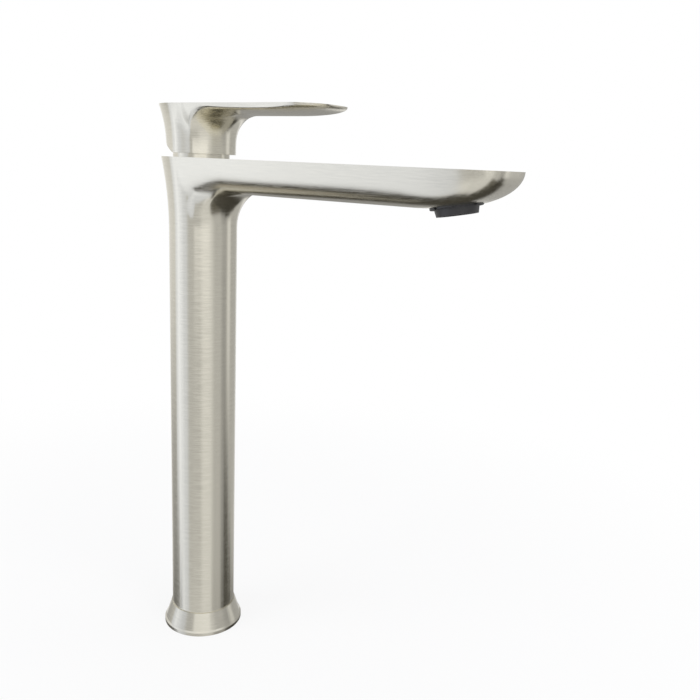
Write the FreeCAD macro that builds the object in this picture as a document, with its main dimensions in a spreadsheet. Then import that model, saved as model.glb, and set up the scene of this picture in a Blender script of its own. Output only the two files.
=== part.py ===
"""Tall single-lever basin faucet with a level boat-shaped spout, made as separate pieces.

Millimetres, +Z up. The origin is the centre of the base on the deck, the column's axis is Z and
the spout points along +X. The valve stack stands on its own axis, slightly behind the column's.
"""

import FreeCAD, Part
import math
import os
import re
import Sketcher

os.makedirs("parts", exist_ok=True)
doc = FreeCAD.newDocument("basin_faucet")
Vector = FreeCAD.Vector

# ---------------------------------------------------------------- driving dimensions (mm, degrees)

SIZES = {
    # column, base and head
    "column_radius": 20.0,
    "column_bore": 16.0,
    "bore_top": 238.0,
    "head_top": 300.0,
    "flare_start": 258.0,
    "flare_radius": 220.0,
    "spigot_radius": 18.5,
    "ring_ledge": 4.0,
    "ring_radius": 25.0,
    "ring_lip": 2.0,
    "ring_bevel_in": 0.9,
    "ring_bevel_up": 1.0,
    "ring_top_radius": 20.6,
    "ring_height": 13.6,
    "gasket_inner": 20.4,
    "gasket_outer": 23.6,
    "gasket_depth": 1.6,
    # spout
    "tip_reach": 196.0,
    "keel_start": 148.0,
    "spout_depth": 19.0,
    "hull_fullness": 4.0,
    "keel_fullness": 2.15,
    "wall_step": 0.5,
    "elbow_radius": 14.5,
    "neck_step": 0.6,
    "neck_back": 12.0,
    "neck_half_width": 15.0,
    "neck_growth": 0.6,
    "neck_run_out": 1.0,
    "neck_lid_reach": 1.5,
    "neck_lid_rise": 2.0,
    "waterway_start": 36.0,
    "waterway_half_width": 9.0,
    "waterway_floor": 286.5,
    "waterway_roof": 294.5,
    "waterway_end": 166.0,
    "riser_half_width": 5.0,
    "riser_back": 10.5,
    "riser_floor_start": 14.0,
    "riser_floor_knee": 20.5,
    "riser_floor_knee_level": 279.0,
    "riser_floor_end": 38.0,
    "riser_roof_start": 15.6,
    "riser_roof_knee_level": 279.5,
    "riser_roof_end": 31.0,
    # valve stack
    "valve_offset": -1.5,
    "cavity_radius": 13.05,
    "cavity_floor": 252.0,
    "nut_thread": 15.0,
    "nut_seat": 293.0,
    "manifold_radius": 13.0,
    "manifold_boss": 11.9,
    "manifold_bottom": 244.0,
    "manifold_top": 279.0,
    "inlet_radius": 4.5,
    "inlet_depth": 10.0,
    "inlet_spread": 6.2,
    "port_back": 3.2,
    "port_spread": 5.0,
    "port_radius": 2.2,
    "outlet_front": 5.5,
    "outlet_radius": 2.6,
    "outlet_level": 271.0,
    "seal_groove_low": 258.0,
    "seal_groove_high": 275.4,
    "seal_groove_width": 2.0,
    "seal_groove_depth": 1.5,
    "port_seal_radius": 3.5,
    "port_seal_height": 1.0,
    "disc_port_radius": 2.0,
    "cartridge_radius": 12.85,
    "disc_level": 283.0,
    "disc_height": 3.0,
    "fixed_disc_radius": 10.4,
    "moving_disc_radius": 8.6,
    "chamber_radius": 10.5,
    "chamber_roof": 294.5,
    "carrier_height": 3.4,
    "lug_radius": 0.9,
    "lug_height": 0.7,
    "lug_spread": 5.6,
    "lug_hole_depth": 0.8,
    "mixing_radius": 4.6,
    "mixing_offset": 2.4,
    "mixing_depth": 1.6,
    "ball_recess_depth": 0.9,
    "rotor_flange_bottom": 292.6,
    "rotor_flange_top": 294.4,
    "rotor_radius": 7.9,
    "rotor_top": 303.0,
    "rotor_groove_drop": 1.9,
    "rotor_groove_width": 1.2,
    "rotor_groove_depth": 0.9,
    "rotor_seal_inset": 0.4,
    "rotor_seal_section": 0.42,
    "slot_half_width": 3.6,
    "slot_half_length": 5.2,
    "neck_bore": 7.95,
    "neck_radius": 9.9,
    "neck_top": 301.8,
    "shoulder": 296.0,
    "nut_top": 299.6,
    "spanner_slot_width": 2.6,
    "spanner_slot_depth": 1.6,
    "collar_radius": 16.4,
    "collar_top": 303.0,
    "collar_bore": 10.2,
    "collar_bevel": 0.6,
    "collar_lip": 0.8,
    "collar_groove_depth": 1.4,
    "collar_groove_drop": 2.6,
    "collar_recess": 2.6,
    "collar_seal_section": 0.8,
    # spindle and handle
    "pivot_level": 298.0,
    "spindle_lean": 12.0,
    "spindle_arm": 7.5,
    "ball_radius": 2.2,
    "arm_radius": 1.8,
    "spindle_half": 3.5,
    "spindle_foot": 3.2,
    "spindle_reach": 21.0,
    "pin_radius": 1.25,
    "pin_half_length": 7.3,
    "pin_hole_reach": 10.0,
    "bush_radius": 6.3,
    "bush_foot": 8.2,
    "bush_reach": 22.0,
    "bush_square_gap": 0.03,
    "bush_roof_gap": 0.1,
    "boss_radius": 8.6,
    "boss_head": 2.0,
    "handle_foot": 302.4,
    "handle_top": 329.0,
    "handle_radius": 20.0,
    "handle_flare_start": 305.0,
    "handle_flare_radius": 74.0,
    "handle_span": 60.0,
    "skirt_bore": 17.3,
    "skirt_roof": 318.0,
    "back_cut_angle": 29.5,
    "back_cut_start": 3.5,
    "lever_reach": 95.8,
    "lever_half_width": 20.9,
    "lever_root_half_width": 23.6,
    "lever_narrows_at": 60.0,
    "lever_corner": 7.0,
    "lever_front_radius": 60.0,
    "lever_depth": 5.3,
    "lever_keel_start": 60.0,
    "lever_nose_margin": 0.2,
    "lever_edge": 2.5,
    "lever_crown_radius": 122.0,
    "lever_crown_half_width": 26.0,
    "lever_elbow": 10.3,
    "lever_neck_half_width": 15.5,
    "lever_neck_back": 16.0,
    "lever_neck_growth": 1.5,
    "lever_neck_lift": 0.3,
    "screw_level": 15.0,
    "screw_radius": 2.5,
    "screw_length": 9.0,
    "screw_rib_reach": 20.3,
    "screw_rib_width": 8.6,
    "screw_rib_foot": 4.4,
    "screw_rib_head": 0.6,
    "screw_space_reach": 30.0,
    "socket_radius": 1.375,
    "socket_depth": 2.6,
    "plug_radius": 3.2,
    "plug_depth": 1.8,
    "plug_start": 22.4,
    "plug_stem_radius": 2.2,
    "plug_stem_length": 2.9,
    # outlet
    "nozzle_tilt": 11.1,
    "nozzle_x": 167.76,
    "nozzle_z": 278.75,
    "nozzle_mouth": 10.1,
    "nozzle_waist": 11.0,
    "nozzle_waist_height": 4.4,
    "ball_centre": 9.0,
    "swivel_radius": 11.6,
    "nozzle_top": 12.9,
    "holder_radius": 12.9,
    "holder_bottom": 3.4,
    "holder_top": 14.6,
    "holder_chamfer": 0.3,
    "holder_mouth": 3.0,
    "holder_roof": 1.1,
    "holder_mouth_radius": 12.0,
    "holder_throat_radius": 11.6,
    "holder_lip": 2.2,
    "key_slot_width": 2.2,
    "key_slot_depth": 1.0,
    "seal_shelf": 0.7,
    "seal_shelf_depth": 1.1,
    "aerator_seal_radius": 11.25,
    "aerator_seal_section": 1.0,
    "nozzle_bore": 8.95,
    "nozzle_stop": 1.0,
    "regulator_top": 9.4,
    "regulator_height": 2.0,
    "regulator_bore": 2.2,
    "regulator_mouth": 4.5,
    "regulator_step_radius": 3.6,
    "regulator_step": 0.9,
    "grid_foot": 1.8,
    "grid_gap": 0.2,
    "grid_hole": 1.5,
    "grid_spacing": 3.4,
    # mounting bridge
    "bridge_height": 9.0,
    "passage_half_width": 7.5,
    "passage_half_length": 12.0,
    "stud_radius": 2.1,
    "stud_spread": 11.6,
    # gaps between pieces, and how far a cut runs past a face
    "running_gap": 0.05,
    "fit_gap": 0.02,
    "face_gap": 0.01,
    "overcut": 1.0,
}

sizes = doc.addObject("Spreadsheet::Sheet", "sizes")
for row, (word, value) in enumerate(SIZES.items(), start=1):
    sizes.set(f"A{row}", word)
    sizes.set(f"B{row}", str(value))
    sizes.setAlias(f"B{row}", word)
doc.recompute()


# ---------------------------------------------------------------- helpers

def formula(text):
    """The text with each size's word pointed at its cell in the sheet."""
    return re.sub(r"[a-z_]+", lambda m: "sizes." + m.group() if m.group() in SIZES else m.group(), str(text))


def amount(text):
    """The value that a formula has now."""
    return float(sizes.evalExpression(formula(text)))


def bind(thing, **properties):
    """Bind an object's properties to formulas; dots in a property's path are written as __."""
    for path, text in properties.items():
        thing.setExpression(path.replace("__", "."), formula(text))
    return thing


def move(thing, x="0", y="0", z="0"):
    """Place an object by three formulas."""
    bind(thing, Placement__Base__x=x, Placement__Base__y=y, Placement__Base__z=z)
    return thing


def cylinder(name, radius, height, x="0", y="0", z="0"):
    """An upright cylinder from z up."""
    thing = doc.addObject("Part::Cylinder", name)
    bind(thing, Radius=radius, Height=height)
    return move(thing, x, y, z)


def lying_cylinder(name, radius, length, direction, x="0", y="0", z="0"):
    """A cylinder along a horizontal direction."""
    thing = doc.addObject("Part::Cylinder", name)
    thing.Placement = FreeCAD.Placement(Vector(), FreeCAD.Rotation(Vector(0, 0, 1), Vector(*direction)))
    bind(thing, Radius=radius, Height=length)
    return move(thing, x, y, z)


def box(name, length, width, height, x="0", z="0", y=None):
    """A box from x forward and z up, centred across unless y is given."""
    thing = doc.addObject("Part::Box", name)
    bind(thing, Length=length, Width=width, Height=height)
    return move(thing, x, y if y is not None else f"-({width}) / 2", z)


def ring(name, major, minor, x="0", y="0", z="0"):
    """A round sealing ring."""
    thing = doc.addObject("Part::Torus", name)
    bind(thing, Radius1=major, Radius2=minor)
    return move(thing, x, y, z)


def fuse(name, *pieces):
    thing = doc.addObject("Part::MultiFuse", name)
    thing.Shapes = list(pieces)
    return thing


def group(name, *pieces):
    thing = doc.addObject("Part::Compound", name)
    thing.Links = list(pieces)
    return thing


def common(name, *pieces):
    thing = doc.addObject("Part::MultiCommon", name)
    thing.Shapes = list(pieces)
    return thing


def cut(name, base, *tools):
    thing = doc.addObject("Part::Cut", name)
    thing.Base = base
    thing.Tool = tools[0] if len(tools) == 1 else fuse(name + "_tools", *tools)
    return thing


def lean(thing, angle, x, z):
    """Turn an object about Y by a formula's angle and put its own origin at (x, 0, z)."""
    thing.Placement = FreeCAD.Placement(Vector(), FreeCAD.Rotation(Vector(0, 1, 0), 1))
    bind(thing, Placement__Rotation__Angle=angle)
    return move(thing, x, "0", z)


def arc_centre(start, end, hint):
    """The centre of an arc between two points when one of its coordinates is given."""
    across = end - start
    half = (end.Length ** 2 - start.Length ** 2) / 2
    if hint[0] is None:
        y = amount(hint[1])
        return Vector((half - across.y * y) / across.x, y, 0)
    x = amount(hint[0])
    return Vector(x, (half - across.x * x) / across.y, 0)


def short_arc(start, end, centre):
    """The arc round a centre that takes the short way between two points, stored anticlockwise."""
    from_angle, to_angle = [math.atan2(point.y - centre.y, point.x - centre.x) for point in (start, end)]
    if math.sin(to_angle - from_angle) < 0:
        from_angle, to_angle = to_angle, from_angle
    if to_angle < from_angle:
        to_angle += 2 * math.pi
    circle = Part.Circle(centre, Vector(0, 0, 1), (start - centre).Length)
    return Part.ArcOfCircle(circle, from_angle, to_angle)


def draw(sketch, corners):
    """Draw a closed outline in a sketch. A corner is (x, y) in formulas. The run to the next corner is
    straight, or an arc where a third entry gives one coordinate of its centre and None for the other."""
    places = [Vector(amount(corner[0]), amount(corner[1]), 0) for corner in corners]
    first_end = []
    for index, corner in enumerate(corners):
        start, end = places[index], places[(index + 1) % len(places)]
        edge = Part.LineSegment(start, end)
        if len(corner) == 3:
            edge = short_arc(start, end, arc_centre(start, end, corner[2]))
        sketch.addGeometry(edge, False)
        # an arc is stored anticlockwise, so it may start at its far corner
        first_end.append(1 if (sketch.Geometry[index].StartPoint - start).Length < 1e-6 else 2)
    for index, corner in enumerate(corners):
        after = (index + 1) % len(corners)
        here = first_end[index]
        sketch.addConstraint(Sketcher.Constraint("Coincident", index, 3 - here, after, first_end[after]))
        fixed = [("DistanceX", corner[0], here), ("DistanceY", corner[1], here)]
        if len(corner) == 3:
            hint = corner[2]
            fixed.append(("DistanceX", hint[0], 3) if hint[1] is None else ("DistanceY", hint[1], 3))
        for kind, text, point in fixed:
            number = sketch.addConstraint(Sketcher.Constraint(kind, -1, 1, index, point, amount(text)))
            sketch.setExpression(f"Constraints[{number}]", formula(text))


def origin_plane(body, role):
    return [part for part in body.Origin.OriginFeatures if part.Role == role][0]


def sketch_on(body, name, role, corners):
    sketch = body.newObject("Sketcher::SketchObject", name)
    sketch.AttachmentSupport = [(origin_plane(body, role), "")]
    sketch.MapMode = "FlatFace"
    draw(sketch, corners)
    return sketch


def turned(name, corners, x="valve_offset", z="0"):
    """A body turned about its own vertical axis from a half outline of (radius, height) corners."""
    body = doc.addObject("PartDesign::Body", name)
    outline = sketch_on(body, name + "_outline", "XZ_Plane", corners)
    turning = body.newObject("PartDesign::Revolution", name + "_turning")
    turning.Profile = (outline, [""])
    turning.ReferenceAxis = (outline, ["V_Axis"])
    turning.Angle = 360
    move(body, x, "0", z)
    return body


def slab(name, corners, half_width):
    """A body drawn from the side in (x, z) and padded equally to both sides."""
    body = doc.addObject("PartDesign::Body", name)
    outline = sketch_on(body, name + "_outline", "XZ_Plane", corners)
    pad = body.newObject("PartDesign::Pad", name + "_pad")
    pad.Profile = (outline, [""])
    bind(pad, Length=f"2 * ({half_width})")
    pad.Midplane = True
    return body


def bar(name, corners, length, x="0"):
    """A body drawn from the front in (y, z) and padded forward from x."""
    body = doc.addObject("PartDesign::Body", name)
    outline = sketch_on(body, name + "_outline", "YZ_Plane", corners)
    pad = body.newObject("PartDesign::Pad", name + "_pad")
    pad.Profile = (outline, [""])
    bind(pad, Length=length)
    move(body, x)
    return body


NECK_FIRST_TURN, NECK_LAST_TURN, NECK_STEPS = -12, 76, 6


def neck(name, elbow, column_edge, under, half_width, growth, back):
    """The hollowed corner under a spout: upright ovals whose front edge follows an elbow arc.

    The arc is tangent to the column's front at column_edge and to the underside at height under."""
    ovals = []
    for step in range(NECK_STEPS + 1):
        share = step / NECK_STEPS
        turn = NECK_FIRST_TURN + (NECK_LAST_TURN - NECK_FIRST_TURN) * share
        front = f"({column_edge} + {elbow} - {elbow} * cos({turn}) - neck_run_out * {(1 - share) ** 2})"
        oval = doc.addObject("Part::Ellipse", f"{name}_oval_{step}")
        bind(oval, MajorRadius=f"({front} + {back}) / 2", MinorRadius=f"{half_width} + {growth} * {share}")
        move(oval, f"({front} - {back}) / 2", "0", f"{under} - {elbow} + {elbow} * sin({turn})")
        ovals.append(oval)
    lid = doc.addObject("Part::Ellipse", f"{name}_lid")
    front = f"({column_edge} + {elbow} + neck_lid_reach)"
    bind(lid, MajorRadius=f"({front} + {back}) / 2", MinorRadius=f"{half_width} + {growth}")
    ovals.append(move(lid, f"({front} - {back}) / 2", "0", f"{under} + neck_lid_rise"))
    loft = doc.addObject("Part::Loft", name)
    loft.Sections = ovals
    loft.Solid = True
    loft.Ruled = False
    return loft


parts = {}


def keep(name, thing):
    """Name a finished piece; the label is also the name of its file."""
    thing.Label = name
    parts[name] = thing
    return thing


# ---------------------------------------------------------------- body: column, head and spout in one casting

HEAD_RADIUS = "(column_radius + flare_radius - sqrt(flare_radius^2 - (head_top - flare_start)^2))"
BELLY = "(head_top - spout_depth)"

column = turned(
    "column",
    [
        ("0", "0"),
        ("spigot_radius", "0"),
        ("spigot_radius", "ring_ledge"),
        ("column_radius", "ring_ledge"),
        ("column_radius", "flare_start", (None, "flare_start")),
        (HEAD_RADIUS, "head_top"),
        ("0", "head_top"),
    ],
    x="0",
)


def head_radius(level):
    """The flared column's radius at a height."""
    rise = max(level - SIZES["flare_start"], 0)
    flare = SIZES["flare_radius"]
    return SIZES["column_radius"] + flare - (flare ** 2 - rise ** 2) ** 0.5


NOSE_TURNS = (0, 10, 20, 30, 40, 50, 60, 69, 77, 83, 87, 90)
SPOUT_LEVELS = (0, 0.14, 0.3, 0.46, 0.6, 0.72, 0.82, 0.9, 0.955, 0.985)


def spout_outline(share):
    """The spout's level outline at a share of its depth below the top.

    Straight sides follow the column's flare; the tip is a rounded nose whose fullness across and along
    the keel are the two exponents in the sheet."""
    full, keel = SIZES["hull_fullness"], SIZES["keel_fullness"]
    level = SIZES["head_top"] - share * SIZES["spout_depth"]
    half = head_radius(level) - SIZES["wall_step"]
    length = SIZES["tip_reach"] - SIZES["keel_start"]
    widest = (1 - share ** full) ** (1 / full)
    nose = []
    for turn in NOSE_TURNS:
        across = widest * max(math.cos(math.radians(turn)), 0) ** 0.5
        along = max((1 - across ** full) ** (keel / full) - share ** keel, 0) ** (1 / keel)
        nose.append(Vector(SIZES["keel_start"] + length * along, half * across, level))
    nose[0].x = SIZES["keel_start"]
    nose += [Vector(point.x, -point.y, point.z) for point in reversed(nose[:-1])]
    curve = Part.BSplineCurve()
    curve.interpolate(nose)
    back = [Vector(0, nose[-1].y, level), Vector(0, nose[0].y, level)]
    return Part.Wire([
        curve.toShape(),
        Part.makeLine(nose[-1], back[0]),
        Part.makeLine(back[0], back[1]),
        Part.makeLine(back[1], nose[0]),
    ])


spout = doc.addObject("Part::Feature", "spout")
spout.Shape = Part.makeLoft([spout_outline(share) for share in SPOUT_LEVELS], True, False)

body_outer = fuse(
    "body_outer",
    column,
    neck(
        "body_neck",
        "elbow_radius",
        "column_radius + neck_step",
        BELLY,
        "neck_half_width",
        "neck_growth",
        "neck_back",
    ),
    spout,
)
hose_space = turned(
    "hose_space",
    [
        ("0", "-overcut"),
        ("column_bore", "-overcut"),
        ("column_bore", "bore_top"),
        ("manifold_boss + running_gap", "manifold_bottom"),
        ("0", "manifold_bottom"),
    ],
    x="0",
)
valve_space = turned(
    "valve_space",
    [
        ("0", "manifold_bottom - overcut"),
        ("manifold_boss + running_gap", "manifold_bottom - overcut"),
        ("manifold_boss + running_gap", "cavity_floor"),
        ("cavity_radius", "cavity_floor"),
        ("cavity_radius", "nut_seat"),
        ("nut_thread", "nut_seat"),
        ("nut_thread", "head_top + overcut"),
        ("0", "head_top + overcut"),
    ],
)
riser = slab(
    "riser",
    [
        ("riser_back", "outlet_level - outlet_radius"),
        ("riser_floor_start", "outlet_level - outlet_radius"),
        ("riser_floor_knee", "riser_floor_knee_level"),
        ("riser_floor_end", "waterway_floor"),
        ("riser_floor_end", "waterway_roof"),
        ("riser_roof_end", "waterway_roof"),
        ("riser_roof_start", "riser_roof_knee_level"),
        ("riser_roof_start", "outlet_level + outlet_radius"),
        ("riser_back", "outlet_level + outlet_radius"),
    ],
    "riser_half_width",
)
waterway = box(
    "waterway",
    "waterway_end - waterway_start",
    "2 * waterway_half_width",
    "waterway_roof - waterway_floor",
    x="waterway_start",
    z="waterway_floor",
)
holder_space = cylinder(
    "holder_space",
    "holder_radius + running_gap",
    "holder_top + holder_mouth + holder_roof",
)
lean(
    holder_space,
    "-nozzle_tilt",
    "nozzle_x + holder_mouth * sin(nozzle_tilt)",
    "nozzle_z - holder_mouth * cos(nozzle_tilt)",
)
keep("body", cut("body_casting", body_outer, hose_space, valve_space, riser, waterway, holder_space))

# ---------------------------------------------------------------- base

ring_outer = turned(
    "ring_outer",
    [
        ("spigot_radius + running_gap", "0"),
        ("ring_radius", "0"),
        ("ring_radius", "ring_lip"),
        ("ring_radius - ring_bevel_in", "ring_lip + ring_bevel_up"),
        ("ring_top_radius", "ring_height"),
        ("column_radius + running_gap", "ring_height"),
        ("column_radius + running_gap", "ring_ledge - running_gap"),
        ("spigot_radius + running_gap", "ring_ledge - running_gap"),
    ],
    x="0",
)
gasket_groove = turned(
    "gasket_groove",
    [
        ("gasket_inner", "-overcut"),
        ("gasket_outer", "-overcut"),
        ("gasket_outer", "gasket_depth"),
        ("gasket_inner", "gasket_depth"),
    ],
    x="0",
)
keep("base_ring", cut("ring_turned", ring_outer, gasket_groove))
keep(
    "base_gasket",
    turned(
        "gasket_turned",
        [
            ("gasket_inner + running_gap", "0"),
            ("gasket_outer - running_gap", "0"),
            ("gasket_outer - running_gap", "gasket_depth - running_gap"),
            ("gasket_inner + running_gap", "gasket_depth - running_gap"),
        ],
        x="0",
    ),
)
BRIDGE_CUT = "bridge_height + 2 * overcut"
PASSAGE_RUN = "(passage_half_length - passage_half_width)"
passage = fuse(
    "passage",
    box(
        "passage_run",
        "2 * passage_half_width",
        f"2 * {PASSAGE_RUN}",
        BRIDGE_CUT,
        "-passage_half_width",
        "-overcut",
    ),
    cylinder("passage_left", "passage_half_width", BRIDGE_CUT, "0", PASSAGE_RUN, "-overcut"),
    cylinder("passage_right", "passage_half_width", BRIDGE_CUT, "0", f"-{PASSAGE_RUN}", "-overcut"),
)
keep(
    "mounting_bridge",
    cut(
        "bridge_plate",
        cylinder("bridge_round", "column_bore - running_gap / 2", "bridge_height"),
        passage,
        cylinder("stud_hole_front", "stud_radius", BRIDGE_CUT, "stud_spread", "0", "-overcut"),
        cylinder("stud_hole_back", "stud_radius", BRIDGE_CUT, "-stud_spread", "0", "-overcut"),
    ),
)

# ---------------------------------------------------------------- manifold, with the two hose inlets

PORT_X = "valve_offset - port_back"
OUTLET_X = "valve_offset + outlet_front"


def seal_groove(name, level):
    """A ring groove cut into the manifold's wall."""
    return turned(
        name,
        [
            ("manifold_radius - seal_groove_depth", level),
            ("manifold_radius + overcut", level),
            ("manifold_radius + overcut", f"{level} + seal_groove_width"),
            ("manifold_radius - seal_groove_depth", f"{level} + seal_groove_width"),
        ],
    )


manifold_blank = turned(
    "manifold_blank",
    [
        ("0", "manifold_bottom"),
        ("manifold_boss", "manifold_bottom"),
        ("manifold_boss", "cavity_floor"),
        ("manifold_radius", "cavity_floor"),
        ("manifold_radius", "manifold_top"),
        ("0", "manifold_top"),
    ],
)
channels = [
    seal_groove("groove_low", "seal_groove_low"),
    seal_groove("groove_high", "seal_groove_high"),
    cylinder(
        "outlet_riser",
        "outlet_radius",
        "manifold_top - outlet_level + overcut",
        OUTLET_X,
        "0",
        "outlet_level",
    ),
    lying_cylinder(
        "outlet_side",
        "outlet_radius",
        "manifold_radius",
        (1, 0, 0),
        OUTLET_X,
        "0",
        "outlet_level",
    ),
]
SIDES = (("left", ""), ("right", "-"))
for side, sign in SIDES:
    channels += [
        cylinder(
            f"inlet_{side}",
            "inlet_radius",
            "inlet_depth + overcut",
            "valve_offset",
            f"{sign}inlet_spread",
            "manifold_bottom - overcut",
        ),
        cylinder(
            f"channel_{side}",
            "port_radius",
            "manifold_top - manifold_bottom - inlet_depth + 1.5 * overcut",
            PORT_X,
            f"{sign}port_spread",
            "manifold_bottom + inlet_depth - overcut / 2",
        ),
    ]
keep("manifold", cut("manifold_body", manifold_blank, *channels))
SEAL_ROOM = "(seal_groove_depth + cavity_radius - manifold_radius)"
keep(
    "manifold_seals",
    fuse(
        "manifold_seal_pair",
        *[
            ring(
                f"manifold_seal_{level}",
                f"manifold_radius - seal_groove_depth + {SEAL_ROOM} / 2",
                f"{SEAL_ROOM} / 2 - fit_gap",
                "valve_offset",
                "0",
                f"seal_groove_{level} + seal_groove_width / 2",
            )
            for level in ("low", "high")
        ],
    ),
)

# ---------------------------------------------------------------- cartridge: base, seals and discs

# where water passes: a name, the bore's radius, and its place
PORTS = (
    ("left", "port_radius", PORT_X, "port_spread"),
    ("right", "port_radius", PORT_X, "-port_spread"),
    ("outlet", "outlet_radius", OUTLET_X, "0"),
)
base_blank = cylinder(
    "base_blank",
    "cartridge_radius",
    "disc_level - manifold_top",
    "valve_offset",
    "0",
    "manifold_top",
)
base_cuts = []
for name, bore, x, y in PORTS:
    seat = ["port_seal_radius + running_gap", "port_seal_height + overcut", x, y]
    base_cuts += [
        cylinder(
            f"base_port_{name}",
            bore,
            "disc_level - manifold_top + 2 * overcut",
            x,
            y,
            "manifold_top - overcut",
        ),
        cylinder(f"seat_low_{name}", *seat, "manifold_top - overcut"),
        cylinder(f"seat_high_{name}", *seat, "disc_level - port_seal_height"),
    ]
keep("cartridge_base", cut("cartridge_base_body", base_blank, *base_cuts))


def port_seals(name, level):
    """Three short sealing sleeves round the ports."""
    sleeves = []
    height = "port_seal_height - 2 * face_gap"
    for place, bore, x, y in PORTS:
        outer = cylinder(f"{name}_{place}_outer", "port_seal_radius", height, x, y, f"{level} + face_gap")
        inner = cylinder(
            f"{name}_{place}_inner",
            bore,
            "port_seal_height + overcut",
            x,
            y,
            f"{level} - overcut / 2",
        )
        sleeves.append(cut(f"{name}_{place}", outer, inner))
    return fuse(name + "_group", *sleeves)


keep("inlet_port_seals", port_seals("lower_seals", "manifold_top"))
keep("disc_seals", port_seals("upper_seals", "(disc_level - port_seal_height)"))
keep(
    "fixed_disc",
    cut(
        "fixed_disc_body",
        cylinder("fixed_disc_blank", "fixed_disc_radius", "disc_height", "valve_offset", "0", "disc_level"),
        *[
            cylinder(
                f"disc_port_{name}",
                "disc_port_radius",
                "disc_height + 2 * overcut",
                x,
                y,
                "disc_level - overcut",
            )
            for name, bore, x, y in PORTS
        ],
    ),
)
DISC_X = "valve_offset - spindle_arm * sin(spindle_lean)"
MOVING_LEVEL = "(disc_level + disc_height)"
CARRIER_LEVEL = "(disc_level + 2 * disc_height)"
lugs = []
lug_holes = []
for side, sign in SIDES:
    spread = f"{sign}lug_spread"
    foot = f"{CARRIER_LEVEL} - lug_height"
    lugs.append(cylinder(f"lug_{side}", "lug_radius", "2 * lug_height", DISC_X, spread, foot))
    foot = f"{CARRIER_LEVEL} - lug_hole_depth"
    height = "lug_hole_depth + overcut"
    lug_holes.append(cylinder(f"lug_hole_{side}", "lug_radius + running_gap", height, DISC_X, spread, foot))
keep(
    "moving_disc",
    cut(
        "moving_disc_body",
        cylinder(
            "moving_disc_blank",
            "moving_disc_radius",
            "disc_height - face_gap",
            DISC_X,
            "0",
            f"{MOVING_LEVEL} + face_gap",
        ),
        cylinder(
            "mixing_space",
            "mixing_radius",
            "mixing_depth + overcut",
            f"{DISC_X} + mixing_offset",
            "0",
            f"{MOVING_LEVEL} - overcut",
        ),
        cylinder(
            "ball_recess",
            "ball_radius + running_gap",
            "ball_recess_depth + overcut",
            DISC_X,
            "0",
            f"{CARRIER_LEVEL} - ball_recess_depth",
        ),
        *lug_holes,
    ),
)
keep(
    "disc_carrier",
    cut(
        "carrier_body",
        fuse(
            "carrier_blank",
            cylinder(
                "carrier_round",
                "moving_disc_radius",
                "carrier_height - 2 * face_gap",
                DISC_X,
                "0",
                f"{CARRIER_LEVEL} + face_gap",
            ),
            *lugs,
        ),
        cylinder(
            "ball_hole",
            "ball_radius + running_gap",
            "carrier_height + 2 * overcut",
            DISC_X,
            "0",
            f"{CARRIER_LEVEL} - overcut",
        ),
    ),
)

# ---------------------------------------------------------------- cartridge: rotor, housing, nut and collar

ROTOR_GROOVE = "(neck_top - rotor_groove_drop)"
rotor_blank = turned(
    "rotor_blank",
    [
        ("0", "rotor_flange_bottom"),
        ("fixed_disc_radius", "rotor_flange_bottom"),
        ("fixed_disc_radius", "rotor_flange_top"),
        ("rotor_radius", "rotor_flange_top"),
        ("rotor_radius", ROTOR_GROOVE),
        ("rotor_radius - rotor_groove_depth", ROTOR_GROOVE),
        ("rotor_radius - rotor_groove_depth", f"{ROTOR_GROOVE} + rotor_groove_width"),
        ("rotor_radius", f"{ROTOR_GROOVE} + rotor_groove_width"),
        ("rotor_radius", "rotor_top"),
        ("0", "rotor_top"),
    ],
)
keep(
    "cartridge_rotor",
    cut(
        "rotor_body",
        rotor_blank,
        box(
            "rotor_slot",
            "2 * slot_half_length",
            "2 * slot_half_width",
            "rotor_top - rotor_flange_bottom + 2 * overcut",
            x="valve_offset - slot_half_length",
            z="rotor_flange_bottom - overcut",
        ),
        lying_cylinder(
            "rotor_pin_hole",
            "pin_radius + fit_gap",
            "2 * pin_hole_reach",
            (0, 1, 0),
            "valve_offset",
            "-pin_hole_reach",
            "pivot_level",
        ),
    ),
)
keep(
    "rotor_seal",
    ring(
        "rotor_seal_ring",
        "rotor_radius - rotor_seal_inset",
        "rotor_seal_section",
        "valve_offset",
        "0",
        f"{ROTOR_GROOVE} + rotor_groove_width / 2",
    ),
)
keep(
    "spindle_pin",
    lying_cylinder(
        "spindle_pin_rod",
        "pin_radius",
        "2 * pin_half_length",
        (0, 1, 0),
        "valve_offset",
        "-pin_half_length",
        "pivot_level",
    ),
)
keep(
    "cartridge_housing",
    turned(
        "housing_body",
        [
            ("chamber_radius", "disc_level + face_gap"),
            ("cartridge_radius", "disc_level + face_gap"),
            ("cartridge_radius", "shoulder"),
            ("neck_radius", "shoulder"),
            ("neck_radius", "neck_top"),
            ("neck_bore", "neck_top"),
            ("neck_bore", "chamber_roof"),
            ("chamber_radius", "chamber_roof"),
        ],
    ),
)
nut_blank = turned(
    "nut_blank",
    [
        ("cartridge_radius + running_gap", "nut_seat + running_gap"),
        ("nut_thread - running_gap", "nut_seat + running_gap"),
        ("nut_thread - running_gap", "nut_top"),
        ("neck_radius + running_gap", "nut_top"),
        ("neck_radius + running_gap", "shoulder + face_gap"),
        ("cartridge_radius + running_gap", "shoulder + face_gap"),
    ],
)
SLOT_RUN = "(2 * nut_thread + 2 * overcut)"
SLOT_HEIGHT = "spanner_slot_depth + overcut"
SLOT_FLOOR = "nut_top - spanner_slot_depth"


def spanner_slot(name, length, width):
    """A slot right across the nut's top for a pin spanner."""
    return box(name, length, width, SLOT_HEIGHT, x=f"valve_offset - {length} / 2", z=SLOT_FLOOR)


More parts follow.
